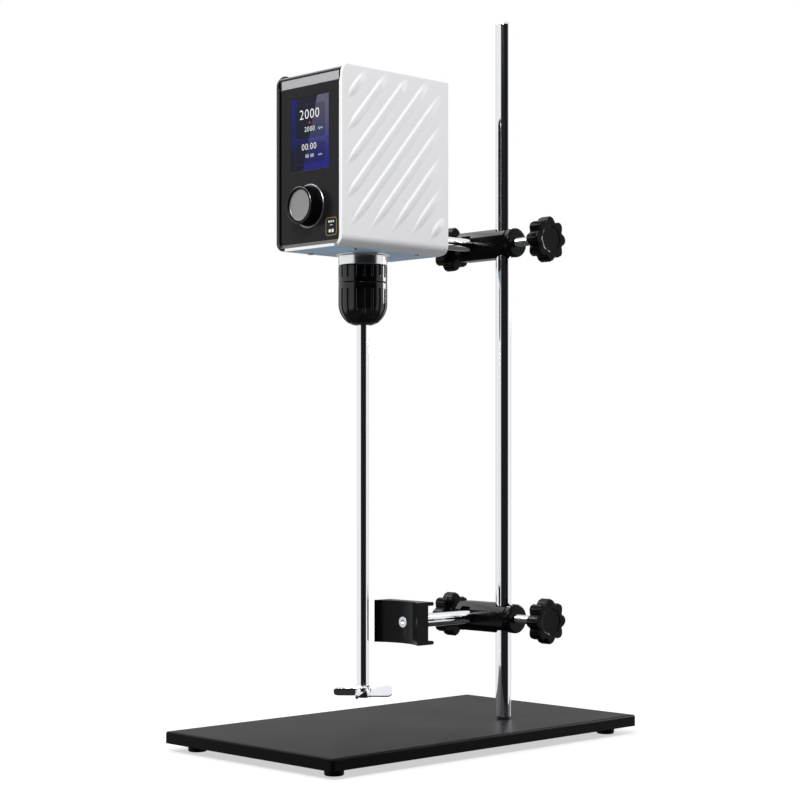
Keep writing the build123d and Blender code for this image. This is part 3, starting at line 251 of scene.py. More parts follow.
def drawn(name, colour, roughness, stretch, spread=0.05, depth=0.002 * mm):
    # plated or ground bar: hairlines along one axis under a bright finish
    paint = Paint(name, Metallic=1.0)
    lines = paint.noise(1.2 * mm, stretch=stretch)
    cloud = paint.noise(30 * mm)
    rough = roughness + (lines - 0.5) * spread + (cloud - 0.5) * spread
    tone = paint.mix(cloud, *around(colour, 0.03))
    return paint.wear(Base_Color=tone, Roughness=rough, Normal=paint.bump(lines, depth))


def cast(name, colour, roughness, grain, depth):
    # cast or pressed metal with a coarse dull skin
    paint = Paint(name, Metallic=1.0)
    skin = paint.noise(grain, detail=4)
    tone = paint.mix(skin, *around(colour, 0.15))
    rough = roughness + (skin - 0.5) * 0.25
    return paint.wear(Base_Color=tone, Roughness=rough, Normal=paint.bump(skin, depth))


def chuckGloss(name, colour, roughness):
    # gloss black coat, with fine turning lines round the axis under it
    paint = Paint(name, Specular_IOR_Level=0.5)
    rings = paint.noise(1.5 * mm, detail=2, stretch=(0.02, 0.02, 8))
    cloud = paint.noise(12 * mm)
    rough = roughness + (rings - 0.5) * 0.05 + (cloud - 0.5) * 0.05
    tone = paint.mix(cloud, *around(colour, 0.2))
    return paint.wear(Base_Color=tone, Roughness=rough, Normal=paint.bump(rings, 0.002 * mm))


def platePaint(name):
    # satin black coat; the rolled edge round the top and the sides are painted darker as painted shade
    plate = {
        "face": (0.0135, 0.0135, 0.014),
        "edgeShade": (0.001, 0.001, 0.0015),
        "inset": 3.4 * mm,
        "soft": 0.4 * mm,
        "topFrom": 0.4 * mm,
        "topTo": 0.1 * mm,
        "roughness": 0.34,
    }
    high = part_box("base_plate")[1]
    paint = Paint(name, Specular_IOR_Level=0.05)
    x, y, z = paint.axes()
    edge = (high.x - abs(x)).least(high.y - abs(y))
    top = z.ramp(high.z - plate["topFrom"], high.z - plate["topTo"])
    field = edge.ramp(plate["inset"] - plate["soft"], plate["inset"] + plate["soft"]) * top
    peel = paint.noise(0.5 * mm, detail=2)
    cloud = paint.noise(70 * mm)
    face = paint.mix(peel, *around(plate["face"], 0.25))
    # painted shade: near black outside the top face's field, on the rolled edge and on the sides
    tone = paint.mix(field, plate["edgeShade"], face)
    rough = plate["roughness"] + (cloud - 0.5) * 0.06 + (1 - field) * 0.1
    return paint.wear(Base_Color=tone, Roughness=rough, Normal=paint.bump(peel, 0.004 * mm))


def shellWhite(name):
    # white moulded casing; the left wall's front rim, reaching further back at its top corner, is painted near black
    # as painted shade
    rim = {
        "edge": 0.35 * mm,
        "soft": 0.08 * mm,
        "deep": 1.4 * mm,
        "ear": 9.6 * mm,
        "earHeight": 12.0 * mm,
        "colour": (0.003, 0.003, 0.0035),
    }
    low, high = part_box("left_shell")
    paint = Paint(name)
    x, y, z = paint.axes()
    rimX = axisX - wallHalf + rim["edge"]
    inward = x.ramp(rimX - rim["soft"], rimX + rim["soft"])
    reach = low.y + rim["deep"] + (z > high.z - rim["earHeight"]) * rim["ear"]
    # painted shade: near black on the left wall's front rim, from its inner edge back to the set depth, deeper near
    # the top
    black = inward * (x < axisX) * (y < reach)
    white, skin = moulding(paint, (0.8, 0.8, 0.805), 0.38, 0.35 * mm, 0.003 * mm, 40 * mm, 0.015)
    return paint.wear(Base_Color=paint.mix(black, white, rim["colour"]), **skin)


def bezelGrey(name):
    # silver grey trim: satin above the panel's lower edge, darker below it
    trim = {"upper": (0.36, 0.36, 0.37), "lower": (0.13, 0.125, 0.12), "soft": 0.5 * mm}
    paint = Paint(name)
    z = paint.axes()[2]
    lower = 1 - z.ramp(panelLow.z - trim["soft"], panelLow.z + trim["soft"])
    upper, skin = moulding(paint, trim["upper"], 0.34, 0.4 * mm, 0.003 * mm, 30 * mm, 0.06)
    return paint.wear(Base_Color=paint.mix(lower, upper, trim["lower"]), **skin)


def coverBlue(name):
    # blue grey moulding with a pale front edge
    cover = {"blue": (0.48, 0.71, 0.9), "pale": (0.82, 0.82, 0.83), "edgeFrom": 0.5 * mm, "edgeTo": 0.8 * mm}
    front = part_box("bottom_cover")[0].y
    paint = Paint(name)
    y = paint.axes()[1]
    edge = 1 - y.ramp(front + cover["edgeFrom"], front + cover["edgeTo"])
    blue, skin = moulding(paint, cover["blue"], 0.4, 0.4 * mm, 0.004 * mm, 30 * mm, 0.05)
    return paint.wear(Base_Color=paint.mix(edge, blue, cover["pale"]), **skin)


def glassPanel(name):
    # black glass-like panel: deep gloss, faint handling marks
    paint = Paint(name, Specular_IOR_Level=0.14)
    smear = paint.noise(26 * mm, detail=5)
    specks = paint.noise(0.6 * mm, detail=1)
    rough = 0.16 + smear * 0.1
    tone = paint.mix(specks, (0.0062, 0.0064, 0.007), (0.0105, 0.0108, 0.0118))
    return paint.wear(Base_Color=tone, Roughness=rough, Normal=paint.bump(smear, 0.003 * mm))


def displayGlass(name):
    # lit screen under glass: deep blue ground that glows at left, at lower right and in a band between,
    # two dark cards with thin outlines, and a painted reflection: a pale slanted glare field
    left, bottom = screen["left"], screen["bottom"]
    width, height = screen["right"] - left, screen["top"] - bottom
    paint = Paint(name, Base_Color=(0.004, 0.005, 0.012), Specular_IOR_Level=0.1)
    x, y, z = paint.axes()
    u = (x - left) / width
    v = (z - bottom) / height
    leftGlow = (1 - u * screen["leftFade"]).most(0) * v.ramp(0.1, 0.9)
    rightGlow = u.ramp(0.45, 1.0) * (1 - v.ramp(0.15, 0.75))
    bandGlow = (1 - abs(v - screen["bandAt"]) * screen["bandFade"]).most(0)
    leftShare, rightShare, bandShare = screen["glowShares"]
    glow = (leftGlow * leftShare + rightGlow * rightShare + bandGlow * bandShare).least(1)
    ground = paint.mix(glow, screen["ground"], screen["glow"])
    line = 0
    inside = 0
    corner = screen["cardRadius"]
    for middleU, middleV, halfU, halfV in screen["cards"]:
        acrossX = (abs(x - (left + middleU * width)) - (halfU * width - corner)).most(0)
        acrossZ = (abs(z - (bottom + middleV * height)) - (halfV * height - corner)).most(0)
        away = (acrossX * acrossX + acrossZ * acrossZ) ** 0.5 - corner
        inside = inside + (away < 0)
        line = line + (abs(away) < screen["lineHalf"])
    ground = paint.mix(inside * screen["cardShare"], ground, screen["cardColour"])
    ground = paint.mix(line * screen["lineShare"], ground, screen["lineColour"])
    # painted reflection: a pale slanted glare across the right of the screen, weaker over the cards
    slant = (u - (screen["glareFoot"] + screen["glareLean"] * v)) * width
    glare = slant.ramp(-screen["glareSoft"], screen["glareSoft"])
    pale = paint.mix(v.ramp(0.1, 0.9), *screen["glareColours"])
    lit = paint.mix(glare * (screen["glareShare"] - inside * screen["glareLoss"]), ground, pale)
    dots = paint.noise(0.25 * mm, detail=0)
    return paint.wear(Emission_Color=lit, Emission_Strength=1.0, Roughness=0.1 + dots * 0.03)


def boardGreen(name):
    # circuit board: solder mask with fine copper tracks showing through
    board = {"cellsPerMetre": 900.0, "track": 0.3, "mask": (0.008, 0.07, 0.03), "copper": (0.02, 0.16, 0.06)}
    paint = Paint(name, Roughness=0.4)
    sockets = {"Vector": paint.place(), "Scale": board["cellsPerMetre"]}
    cells = paint.node("ShaderNodeTexVoronoi", {"distance": "MANHATTAN"}, sockets)
    return paint.wear(Base_Color=paint.mix(cells < board["track"], board["mask"], board["copper"]))


everyWay = (1, 1, 1)
alongY = (1, 0.01, 1)
alongZ = (1, 1, 0.01)
finishes = {
    "plate_paint": platePaint("plate satin black"),
    "foot_rubber": moulded("foot rubber", (0.003, 0.003, 0.0033), 0.6, 0.1, 0.5 * mm, 0.01 * mm),
    "rod_chrome": drawn("rod chrome", (0.86, 0.87, 0.89), 0.07, alongZ),
    "zinc_steel": drawn("zinc plated steel", (0.62, 0.64, 0.67), 0.26, everyWay, 0.12),
    "clamp_paint": coated("clamp black coat", (0.002, 0.002, 0.0023), 0.17, 0.1, 0.7 * mm, 0.006 * mm),
    "grip_plastic": moulded("grip plastic", (0.002, 0.002, 0.0023), 0.17, 0.08, 0.45 * mm, 0.005 * mm),
    "shell_white": shellWhite("white casing"),
    "frame_black": moulded("black frame", (0.002, 0.002, 0.0025), 0.3, 0.15, 0.4 * mm, 0.004 * mm),
    "bezel_grey": bezelGrey("grey bezel"),
    "panel_black": glassPanel("black panel"),
    "display_glass": displayGlass("lit display"),
    "board_green": boardGreen("circuit board"),
    "cast_aluminium": cast("cast aluminium", (0.6, 0.61, 0.62), 0.5, 1.2 * mm, 0.05 * mm),
    "bearing_steel": drawn("bearing steel", (0.6, 0.6, 0.62), 0.2, everyWay),
    "motor_steel": cast("motor can steel", (0.34, 0.35, 0.37), 0.38, 2 * mm, 0.02 * mm),
    "stator_iron": cast("stator iron", (0.2, 0.17, 0.15), 0.55, 0.6 * mm, 0.05 * mm),
    "cover_plastic": coverBlue("blue grey cover"),
    "rear_plastic": moulded("rear cover black", (0.012, 0.012, 0.013), 0.42, 0.25, 0.4 * mm, 0.012 * mm),
    "knob_black": moulded("knob black", (0.0015, 0.0015, 0.0018), 0.26, 0.12, 0.4 * mm, 0.003 * mm),
    "cap_grey": drawn("brushed cap", (0.29, 0.29, 0.29), 0.36, (0.02, 1, 1), 0.1, 0.006 * mm),
    "ring_chrome": drawn("trim chrome", (0.26, 0.26, 0.27), 0.3, everyWay),
    "collar_chrome": drawn("collar chrome", (0.8, 0.81, 0.83), 0.2, (1, 1, 0.05)),
    "chuck_sleeve": chuckGloss("chuck gloss black", (0.002, 0.002, 0.0022), 0.13),
    "chuck_steel": chuckGloss("chuck body black", (0.006, 0.006, 0.0065), 0.24),
    "shaft_steel": drawn("stirring shaft steel", (0.86, 0.87, 0.89), 0.08, alongZ),
    "inlet_black": moulded("inlet black", (0.009, 0.009, 0.01), 0.34, 0.25, 0.4 * mm, 0.008 * mm),
    "pin_brass": drawn("pin plating", (0.72, 0.66, 0.46), 0.22, alongY),
    "rocker_black": moulded("rocker black", (0.008, 0.008, 0.009), 0.3, 0.3, 0.4 * mm, 0.004 * mm),
}
for part in frame["record"]["subparts"]:
    mesh = frame["nodes"][part["node"]].data
    mesh.materials.clear()
    mesh.materials.append(finishes[part["material_slot"]])
slotOf = {part["node"]: part["material_slot"] for part in frame["record"]["subparts"]}
bodyOf = {node: body for body, nodes in frame["record"]["behaviour"]["bodies"].items() for node in nodes}
print("finishes made:", len(finishes))


# ---- surface helpers

def linked(name, data):
    # an object for the mesh, curve, lamp or camera, in the scene
    made = bpy.data.objects.new(name, data)
    scene.collection.objects.link(made)
    return made


def weld(mesh, gap=0.001 * mm, flatten=0.0):
    # doubles merged, then faces joined that lie within that angle of flat, or else all faces turned outwards
    work = bmesh.new()
    work.from_mesh(mesh)
    bmesh.ops.remove_doubles(work, verts=work.verts, dist=gap)
    if flatten:
        bmesh.ops.dissolve_limit(work, angle_limit=flatten, verts=work.verts, edges=work.edges)
    else:
        bmesh.ops.recalc_face_normals(work, faces=work.faces)
    work.to_mesh(mesh)
    work.free()
    return mesh


def addMesh(name, points, faces):
    mesh = bpy.data.meshes.new(name)
    mesh.from_pydata(points.tolist(), [], faces)
    return linked(name, weld(mesh))


def gridFaces(rows, columns, wrapRows, wrapColumns, first=0):
    # four-sided faces between neighbours of a grid of points
    index = np.arange(rows * columns).reshape(rows, columns) + first
    if wrapRows:
        index = np.vstack([index, index[:1]])
    if wrapColumns:
        index = np.hstack([index, index[:, :1]])
    quads = np.stack([index[:-1, :-1], index[1:, :-1], index[1:, 1:], index[:-1, 1:]], axis=-1)
    return quads.reshape(-1, 4).tolist()


def smooth(piece, angle=32):
    mesh = piece.data
    mesh.polygons.foreach_set("use_smooth", np.ones(len(mesh.polygons), bool))
    mesh.set_sharp_from_angle(angle=math.radians(angle))
    return piece


def rounded(piece, width, segments=2, angle=32):
    # a narrow rounding along the sharp edges
    bevel = piece.modifiers.new("edge", "BEVEL")
    bevel.width = width
    bevel.segments = segments
    bevel.limit_method = "ANGLE"
    bevel.angle_limit = math.radians(angle)
    bevel.harden_normals = True
    return piece


def settle(piece, body, slotName, *nodes):
    # finish, body and the nodes it stands for
    piece.data.materials.clear()
    piece.data.materials.append(finishes[slotName])
    if nodes:
        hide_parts(*nodes)
    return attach(piece, body)


def stands(piece, node):
    # stands for one node: same body, same slot
    return settle(piece, bodyOf[node], slotOf[node], node)


def eased(corners, radius, steps=5):
    # a polyline with each inner corner replaced by a short parabola
    corners = np.array(corners, float)
    radii = np.broadcast_to(radius, len(corners))
    share = np.linspace(0, 1, steps)[:, None]
    runs = [corners[:1]]
    for before, corner, after, size in zip(corners[:-2], corners[1:-1], corners[2:], radii[1:-1]):
        back, ahead = before - corner, after - corner
        reach = min(size, 0.48 * np.linalg.norm(back), 0.48 * np.linalg.norm(ahead))
        start = corner + back / np.linalg.norm(back) * reach
        end = corner + ahead / np.linalg.norm(ahead) * reach
        runs.append((1 - share) ** 2 * start + 2 * share * (1 - share) * corner + share ** 2 * end)
    return np.vstack(runs + [corners[-1:]])


def turned(name, profile, origin, axis, ripple=None, turns=96):
    # a profile of (radius, height) pairs carried round an axis: centre + radius x (cosine, sine) + height x axis;
    # ripple gives a new radius from the radius, the height and the angle
    axis = np.array(axis, float)
    side = np.array([0, 0, 1.0]) if abs(axis[2]) < 0.5 else np.array([1.0, 0, 0])
    across = np.cross(side, axis)
    angle = np.linspace(0, 2 * math.pi, turns, endpoint=False)[None, :]
    radius, height = np.array(profile, float).T[:, :, None]
    radius = radius + 0 * angle
    if ripple:
        radius = ripple(radius, height, angle)
    spoke = np.cos(angle)[..., None] * side + np.sin(angle)[..., None] * across
    points = np.array(origin, float) + radius[..., None] * spoke + height[..., None] * axis
    rows, columns = points.shape[:2]
    return smooth(addMesh(name, points.reshape(-1, 3), gridFaces(rows, columns, False, True)))


def joined(node, edge):
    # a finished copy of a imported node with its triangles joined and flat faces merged, its edges softly rounded
    mesh = weld(frame["nodes"][node].data.copy(), flatten=math.radians(0.5))
    return stands(rounded(smooth(linked(node + "_finished", mesh)), edge), node)


def bar(node, axis, chamfer):
    # a round bar with eased ends, in the place of its node
    low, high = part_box(node)
    middle = (low + high) / 2
    length = abs((high - low).dot(Vector(axis)))
    radius = min(high - low) / 2
    foot = middle - Vector(axis) * length / 2
    corners = [(0, 0), (radius - chamfer, 0), (radius, chamfer), (radius, length - chamfer)]
    corners += [(radius - chamfer, length), (0, length)]
    return stands(turned(node + "_bar", eased(corners, chamfer * 0.5), foot, axis), node)


# ---- rods and shaft

up, back = (0, 0, 1), (0, 1, 0)
bar("stand_rod", up, 2.0 * mm)
bar("support_rod", back, 1.0 * mm)
bar("saddle_rod", back, 1.0 * mm)
bar("stirring_shaft", up, 1.0 * mm)
print("rods made")


# ---- thumb screws and their lobed grips

grip = {
    "radius": 20.0 * mm,
    "valley": 16.1 * mm,
    "lobes": 8,
    "lobesFrom": 0.8,
    "roundness": 0.06,
    "ribs": 40,
    "ribDepth": 0.4 * mm,
    "ribsFrom": 0.5 * mm,
    "hubRadius": 9.0 * mm,
    "hubHeight": 2.0 * mm,
    "hubFlare": 0.6 * mm,
    "bore": 4.05 * mm,
    "boreDepth": 10.0 * mm,
    "edge": 1.8 * mm,
    "crown": 0.05 * mm,
    "dish": 0.5 * mm,
    "dishShares": (0.62, 0.56),
    "turns": 320,
}


def gripOutline(radius, height, angle):
    # lobes: valley + rise x rounded |cosine of half the lobe count x angle|, faded out towards the hub;
    # ribs: narrow raised lines on the side wall only
    low, high = math.sqrt(grip["roundness"]), math.sqrt(1 + grip["roundness"])
    wave = np.sqrt(np.cos(grip["lobes"] / 2 * angle) ** 2 + grip["roundness"])
    wave = (wave - low) / (high - low)
    outline = (grip["valley"] + (grip["radius"] - grip["valley"]) * wave) / grip["radius"]
    reach = grip["radius"] * grip["lobesFrom"] - grip["hubRadius"]
    lobed = radius * (1 + (outline - 1) * np.clip((radius - grip["hubRadius"]) / reach, 0, 1))
    side = (radius > grip["radius"] - grip["ribsFrom"]) * 1.0
    rib = np.maximum(0, np.cos(grip["ribs"] * angle)) ** 2
    return lobed - side * grip["ribDepth"] * (1 - rib)


def gripProfile(thickness):
    hub, top = grip["hubHeight"], grip["hubHeight"] + thickness
    floor, edge = top - grip["dish"], grip["edge"]
    dishOuter, dishInner = (grip["radius"] * share for share in grip["dishShares"])
    corners = [(0, grip["boreDepth"]), (grip["bore"], grip["boreDepth"]), (grip["bore"], 0)]
    corners += [(grip["hubRadius"], 0), (grip["hubRadius"] + grip["hubFlare"], hub), (grip["radius"], hub)]
    corners += [(grip["radius"], top), (dishOuter, top - grip["crown"]), (dishInner, floor), (0, floor)]
    radii = [0, 0, 0.3 * mm, 0.6 * mm, 0.4 * mm, edge, edge, 0.3 * mm, 0.3 * mm, 0]
    return eased(corners, radii, 7)


screwThread = {
    "pitch": 1.25 * mm,
    "depth": 0.55 * mm,
    "steps": 7,
    "lead": 1.2 * mm,
    "cutFrom": 3.9 * mm,
    "turns": 40,
}


def threadOutline(radius, height, angle):
    # radius less a triangle wave of height / pitch - angle / full turn, with plain ends
    turn = (height / screwThread["pitch"] - angle / (2 * math.pi)) % 1
    cut = 1 - np.abs(2 * turn - 1)
    return np.where(radius > screwThread["cutFrom"], radius - screwThread["depth"] * cut, radius)


def endFace(node, way):
    # the middle of a node's left end, or of its right end for way -1, with its length and its height
    low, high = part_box(node)
    middle = (low + high) / 2
    return Vector((low.x if way > 0 else high.x, middle.y, middle.z)), high.x - low.x, high.z - low.z


for level in ("upper", "lower"):
    for duty, way in (("support", -1), ("stand", 1)):
        name, axis = level + duty.capitalize(), (way, 0, 0)
        node = level + "_" + duty + "_knob"
        foot, length, height = endFace(node, way)
        profile = gripProfile(length - grip["hubHeight"])
        stands(turned(name + "Grip", profile, foot, axis, gripOutline, grip["turns"]), node)

        node = level + "_" + duty + "_screw"
        foot, length, height = endFace(node, way)
        radius, lead = height / 2, screwThread["lead"]
        rows = int(length / screwThread["pitch"] * screwThread["steps"])
        wall = np.stack([np.full(rows, radius), np.linspace(lead, length, rows)], axis=1)
        profile = np.vstack([[(0, 0), (radius - lead, 0)], wall, [(0, length)]])
        stands(turned(name + "Thread", profile, foot, axis, threadOutline, screwThread["turns"]), node)
print("thumb screws made")


# ---- keyless chuck and its collar

chuck = {
    "grooves": 18,
    "grooveHalf": 1.3 * mm,
    "grooveDepth": 1.0 * mm,
    "edge": 0.5 * mm,
    "step": 0.4 * mm,
    "turns": 396,
}
rearSleeve = {
    "bore": 15.05 * mm,
    "neck": 8.55 * mm,
    "web": 2.0 * mm,
    "grooveRun": 10.0 * mm,
    "skin": 1.5 * mm,
}
frontSleeve = {
    "shoulder": 17.5 * mm,
    "bend": (0.985, 8.0 * mm),
    "lip": (12.7 * mm, 1.8 * mm),
    "bore": 18.55 * mm,
    "inside": ((8.5, 0), (7, 0), (7, 1.2), (11.35, 3.3), (13.05, 5), (13.05, 13.4), (18.55, 18.9)),
    "taperSteps": 24,
    "grooveStart": 5.0 * mm,
    "grooveEnd": 1.0 * mm,
    "skin": 12.6 * mm,
}
collar = {
    "bore": 8.8 * mm,
    "neck": 21.0 * mm,
    "neckHeight": 8.0 * mm,
    "flangeFrom": 8.4 * mm,
    "turns": 128,
}


def grooved(top, bottom, skin):
    # beyond the radius skin, the radius less a round-ended trough at each groove:
    # depth x root of 1 - (distance / half width) squared
    def ripple(radius, height, angle):
        step = 2 * math.pi / chuck["grooves"]
        across = ((angle + step / 2) % step - step / 2) * radius
        beyond = np.maximum(0, np.maximum(height - top, bottom - height))
        away = np.sqrt(across ** 2 + beyond ** 2) / chuck["grooveHalf"]
        trough = np.sqrt(np.maximum(0, 1 - away ** 2))
        return np.where(radius > skin, radius - chuck["grooveDepth"] * trough, radius)
    return ripple


def denser(profile, step):
    # the same polyline with points no further apart than step
    runs = []
    for start, end in zip(profile[:-1], profile[1:]):
        count = max(1, int(np.ceil(np.linalg.norm(end - start) / step)))
        runs.append(start + (end - start) * np.arange(count)[:, None] / count)
    return np.vstack(runs + [profile[-1:]])


low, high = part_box("chuck_rear_sleeve")
outer, tall = (high.x - low.x) / 2, high.z - low.z
bore, neck, webHeight = rearSleeve["bore"], rearSleeve["neck"], tall - rearSleeve["web"]
corners = [(bore, 0), (outer, 0), (outer, tall), (neck, tall), (neck, webHeight), (bore, webHeight), (bore, 0)]
profile = denser(eased(corners, chuck["edge"]), chuck["step"])
grooveFoot = tall - rearSleeve["grooveRun"] + chuck["grooveHalf"]
ripple = grooved(math.inf, grooveFoot, outer - rearSleeve["skin"])
foot = (axisX, axisY, low.z)
stands(turned("rearSleeve", profile, foot, up, ripple, chuck["turns"]), "chuck_rear_sleeve")

low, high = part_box("chuck_front_sleeve")
outer, tall = (high.x - low.x) / 2, high.z - low.z
bore, bend = frontSleeve["bore"], frontSleeve["bend"]
share = np.linspace(0, 1, frontSleeve["taperSteps"])[:, None]
shoulder, lip = np.array([outer, frontSleeve["shoulder"]]), np.array(frontSleeve["lip"])
control = np.array([outer * bend[0], bend[1]])
curve = (1 - share) ** 2 * shoulder + 2 * share * (1 - share) * control + share ** 2 * lip
top = eased([(bore, tall), (outer, tall), (outer, frontSleeve["shoulder"])], chuck["edge"])
profile = np.vstack([top, curve[1:], np.array(frontSleeve["inside"]) * mm, [(bore, tall)]])
grooveHead = tall - frontSleeve["grooveStart"] - chuck["grooveHalf"]
ripple = grooved(grooveHead, frontSleeve["grooveEnd"], frontSleeve["skin"])
foot = (axisX, axisY, low.z)
sleeve = turned("frontSleeve", denser(profile, chuck["step"]), foot, up, ripple, chuck["turns"])
stands(sleeve, "chuck_front_sleeve")

flange, tall = (collarHigh.x - collarLow.x) / 2, collarHigh.z - collarLow.z
bore, neck = collar["bore"], collar["neck"]
corners = [(bore, 0), (neck, 0), (neck, collar["neckHeight"]), (flange, collar["flangeFrom"])]
corners += [(flange, tall), (bore, tall), (bore, 0)]
radii = np.array([0, 0.6, 0.5, 0.5, 0.3, 0.3, 0]) * mm
foot = (axisX, axisY, collarLow.z)
stands(turned("collarRing", eased(corners, radii), foot, up, turns=collar["turns"]), "nose_collar")
print("chuck made")


# ---- head casing

casing = {
    "bottomRadius": 9.0 * mm,
    "topRadius": 2.0 * mm,
    "noseRadius": 10.0 * mm,
    "cornerRadius": 3.0 * mm,
    "wall": 2.4 * mm,
    "lip": 1.4 * mm,
    "lipFade": 8.0 * mm,
    "flange": 1.5 * mm,
    "flatWithin": 0.01 * mm,
    "rows": 212,
    "columns": 188,
    "roundSteps": 14,
    "rim": 1.0 * mm,
}
ridges = {
    "count": 9,
    "angle": 48.5,
    "pitch": 18.05 * mm,
    "shift": -1.8 * mm,
    "height": 1.09 * mm,
    "crest": 1.5 * mm,
    "upper": 2.7 * mm,
    "lower": 6.0 * mm,
    "frontRun": 18.0 * mm,
    "bottomRun": 32.0 * mm,
    "rearRun": 30.0 * mm,
    "topRun": 14.0 * mm,
    "marginY": 4.0 * mm,
    "marginLow": 12.0 * mm,
    "marginHigh": 4.5 * mm,
    "runShare": 0.9,
    "lowWidth": 0.3,
    "highWidth": 0.7,
}


def slope(share):
    # 3 s squared - 2 s cubed between 0 and 1
    share = np.clip(share, 0, 1)
    return share * share * (3 - 2 * share)


def ridgeHeight(y, z, front, rear, bottom, top):
    # each ridge climbs steeply on its upper side and rolls down to a crease below;
    # it narrows and sinks towards its ends
    lean = math.radians(ridges["angle"])
    runY, runZ = math.cos(lean), math.sin(lean)
    lowZ, highZ = bottom + ridges["marginLow"], top - ridges["marginHigh"]
    reachY, reachZ = (rear - front) / 2 - ridges["marginY"], (highZ - lowZ) / 2
    fromY, fromZ = y - (front + rear) / 2, z - (lowZ + highZ) / 2
    along = fromY * runY + fromZ * runZ
    across = fromZ * runY - fromY * runZ
    lowWidth, highWidth = ridges["lowWidth"], ridges["highWidth"]
    rise = np.zeros_like(along + across)
    for index in range(ridges["count"]):
        shift = ((ridges["count"] - 1) / 2 - index) * ridges["pitch"] + ridges["shift"]
        atFront, atBottom = (shift * runZ - reachY) / runY, (-shift * runY - reachZ) / runZ
        atRear, atTop = (shift * runZ + reachY) / runY, (-shift * runY + reachZ) / runZ
        start, end = max(atFront, atBottom), min(atRear, atTop)
        lowRun = ridges["frontRun"] if atFront > atBottom else ridges["bottomRun"]
        highRun = ridges["rearRun"] if atRear < atTop else ridges["topRun"]
        longest = ridges["runShare"] * (end - start) / 2
        fromLow = slope((along - start) / min(lowRun, longest))
        fromHigh = slope((end - along) / min(highRun, longest))
        width = (lowWidth + (1 - lowWidth) * fromLow) * (highWidth + (1 - highWidth) * fromHigh)
        away = (across - shift) / width - ridges["crest"]
        climb = 1 - slope(away / ridges["upper"])
        roll = 1 - np.clip(-away / ridges["lower"], 0, 1) ** 2
        rise = np.maximum(rise, ridges["height"] * fromLow * fromHigh * climb * roll)
    return rise


def walled(name, outerGrid, innerGrid):
    # two matching grids joined round their rims into one closed wall
    rows, columns = outerGrid.shape[:2]
    count = rows * columns
    faces = gridFaces(rows, columns, False, False) + gridFaces(rows, columns, False, False, count)
    index = np.arange(count).reshape(rows, columns)
    rim = np.concatenate([index[0, :-1], index[:-1, -1], index[-1, :0:-1], index[:0:-1, 0]])
    following = np.roll(rim, -1)
    faces += np.stack([rim, following, following + count, rim + count], axis=1).tolist()
    points = np.vstack([outerGrid.reshape(-1, 3), innerGrid.reshape(-1, 3)])
    return addMesh(name, points, faces)


def sideWall(node, way):
    # the wall's section (across, up) carried from front to back, between the rounded ends of the side outline
    low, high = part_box(node)
    bottom, top, front, rear = low.z, high.z, low.y, high.y
    peak = top - bottom
    quarter = np.linspace(0, math.pi / 2, casing["roundSteps"])
    ends = wallHalf - casing["bottomRadius"] - casing["flange"]

    def section(inset):
        radius = casing["bottomRadius"] - inset
        roll = np.stack([
            wallHalf - casing["bottomRadius"] + radius * np.sin(quarter),
            casing["bottomRadius"] - radius * np.cos(quarter),
        ], axis=1)
        crown = max(casing["topRadius"] - inset, 0.0)
        turn = np.stack([
            wallHalf - inset - crown + crown * np.cos(quarter),
            peak - crown + crown * np.sin(quarter),
        ], axis=1)
        side = np.linspace(roll[-1], turn[0], casing["rows"])
        return np.vstack([[(ends, inset)], roll, side[1:-1], turn])

    def grid(inset):
        across, height = section(inset).T
        radiusLow, radiusHigh = casing["cornerRadius"], casing["noseRadius"]
        below = np.maximum(0, radiusLow - height)
        aboveFront = np.maximum(0, height - (peak - radiusHigh))
        aboveRear = np.maximum(0, height - (peak - radiusLow))
        startY = front + radiusLow - np.sqrt(np.maximum(0, radiusLow ** 2 - below ** 2))
        startY = startY + radiusHigh - np.sqrt(np.maximum(0, radiusHigh ** 2 - aboveFront ** 2))
        endCut = radiusLow - np.sqrt(np.maximum(0, radiusLow ** 2 - np.maximum(below, aboveRear) ** 2))
        endY = rear - endCut
        share = np.linspace(0, 1, casing["columns"])[None, :]
        y = startY[:, None] + (endY - startY)[:, None] * share
        x = np.broadcast_to(across[:, None], y.shape).copy()
        z = np.broadcast_to(height[:, None] + bottom, y.shape)
        if inset > 0:
            # the front lip, faded out towards the nose
            lipAcross = section(inset + casing["lip"])[:, 0]
            fade = slope((height - peak + radiusHigh + casing["lipFade"]) / casing["lipFade"])
            x[:, :2] += ((lipAcross - across) * (1 - fade))[:, None]
        else:
            flat = (x > wallHalf - casing["flatWithin"]) * 1.0
            x += flat * ridgeHeight(y, z, front, rear, bottom, top)
        return np.stack([axisX + way * x, y, z], axis=-1)

    return walled(node + "_ribbed", grid(0), grid(casing["wall"]))


for node, way in (("right_shell", 1), ("left_shell", -1)):
    stands(rounded(smooth(sideWall(node, way), 38), casing["rim"], 3, 55), node)
print("side walls made")


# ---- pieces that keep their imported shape, with the width of each one's rounded edges in millimetres

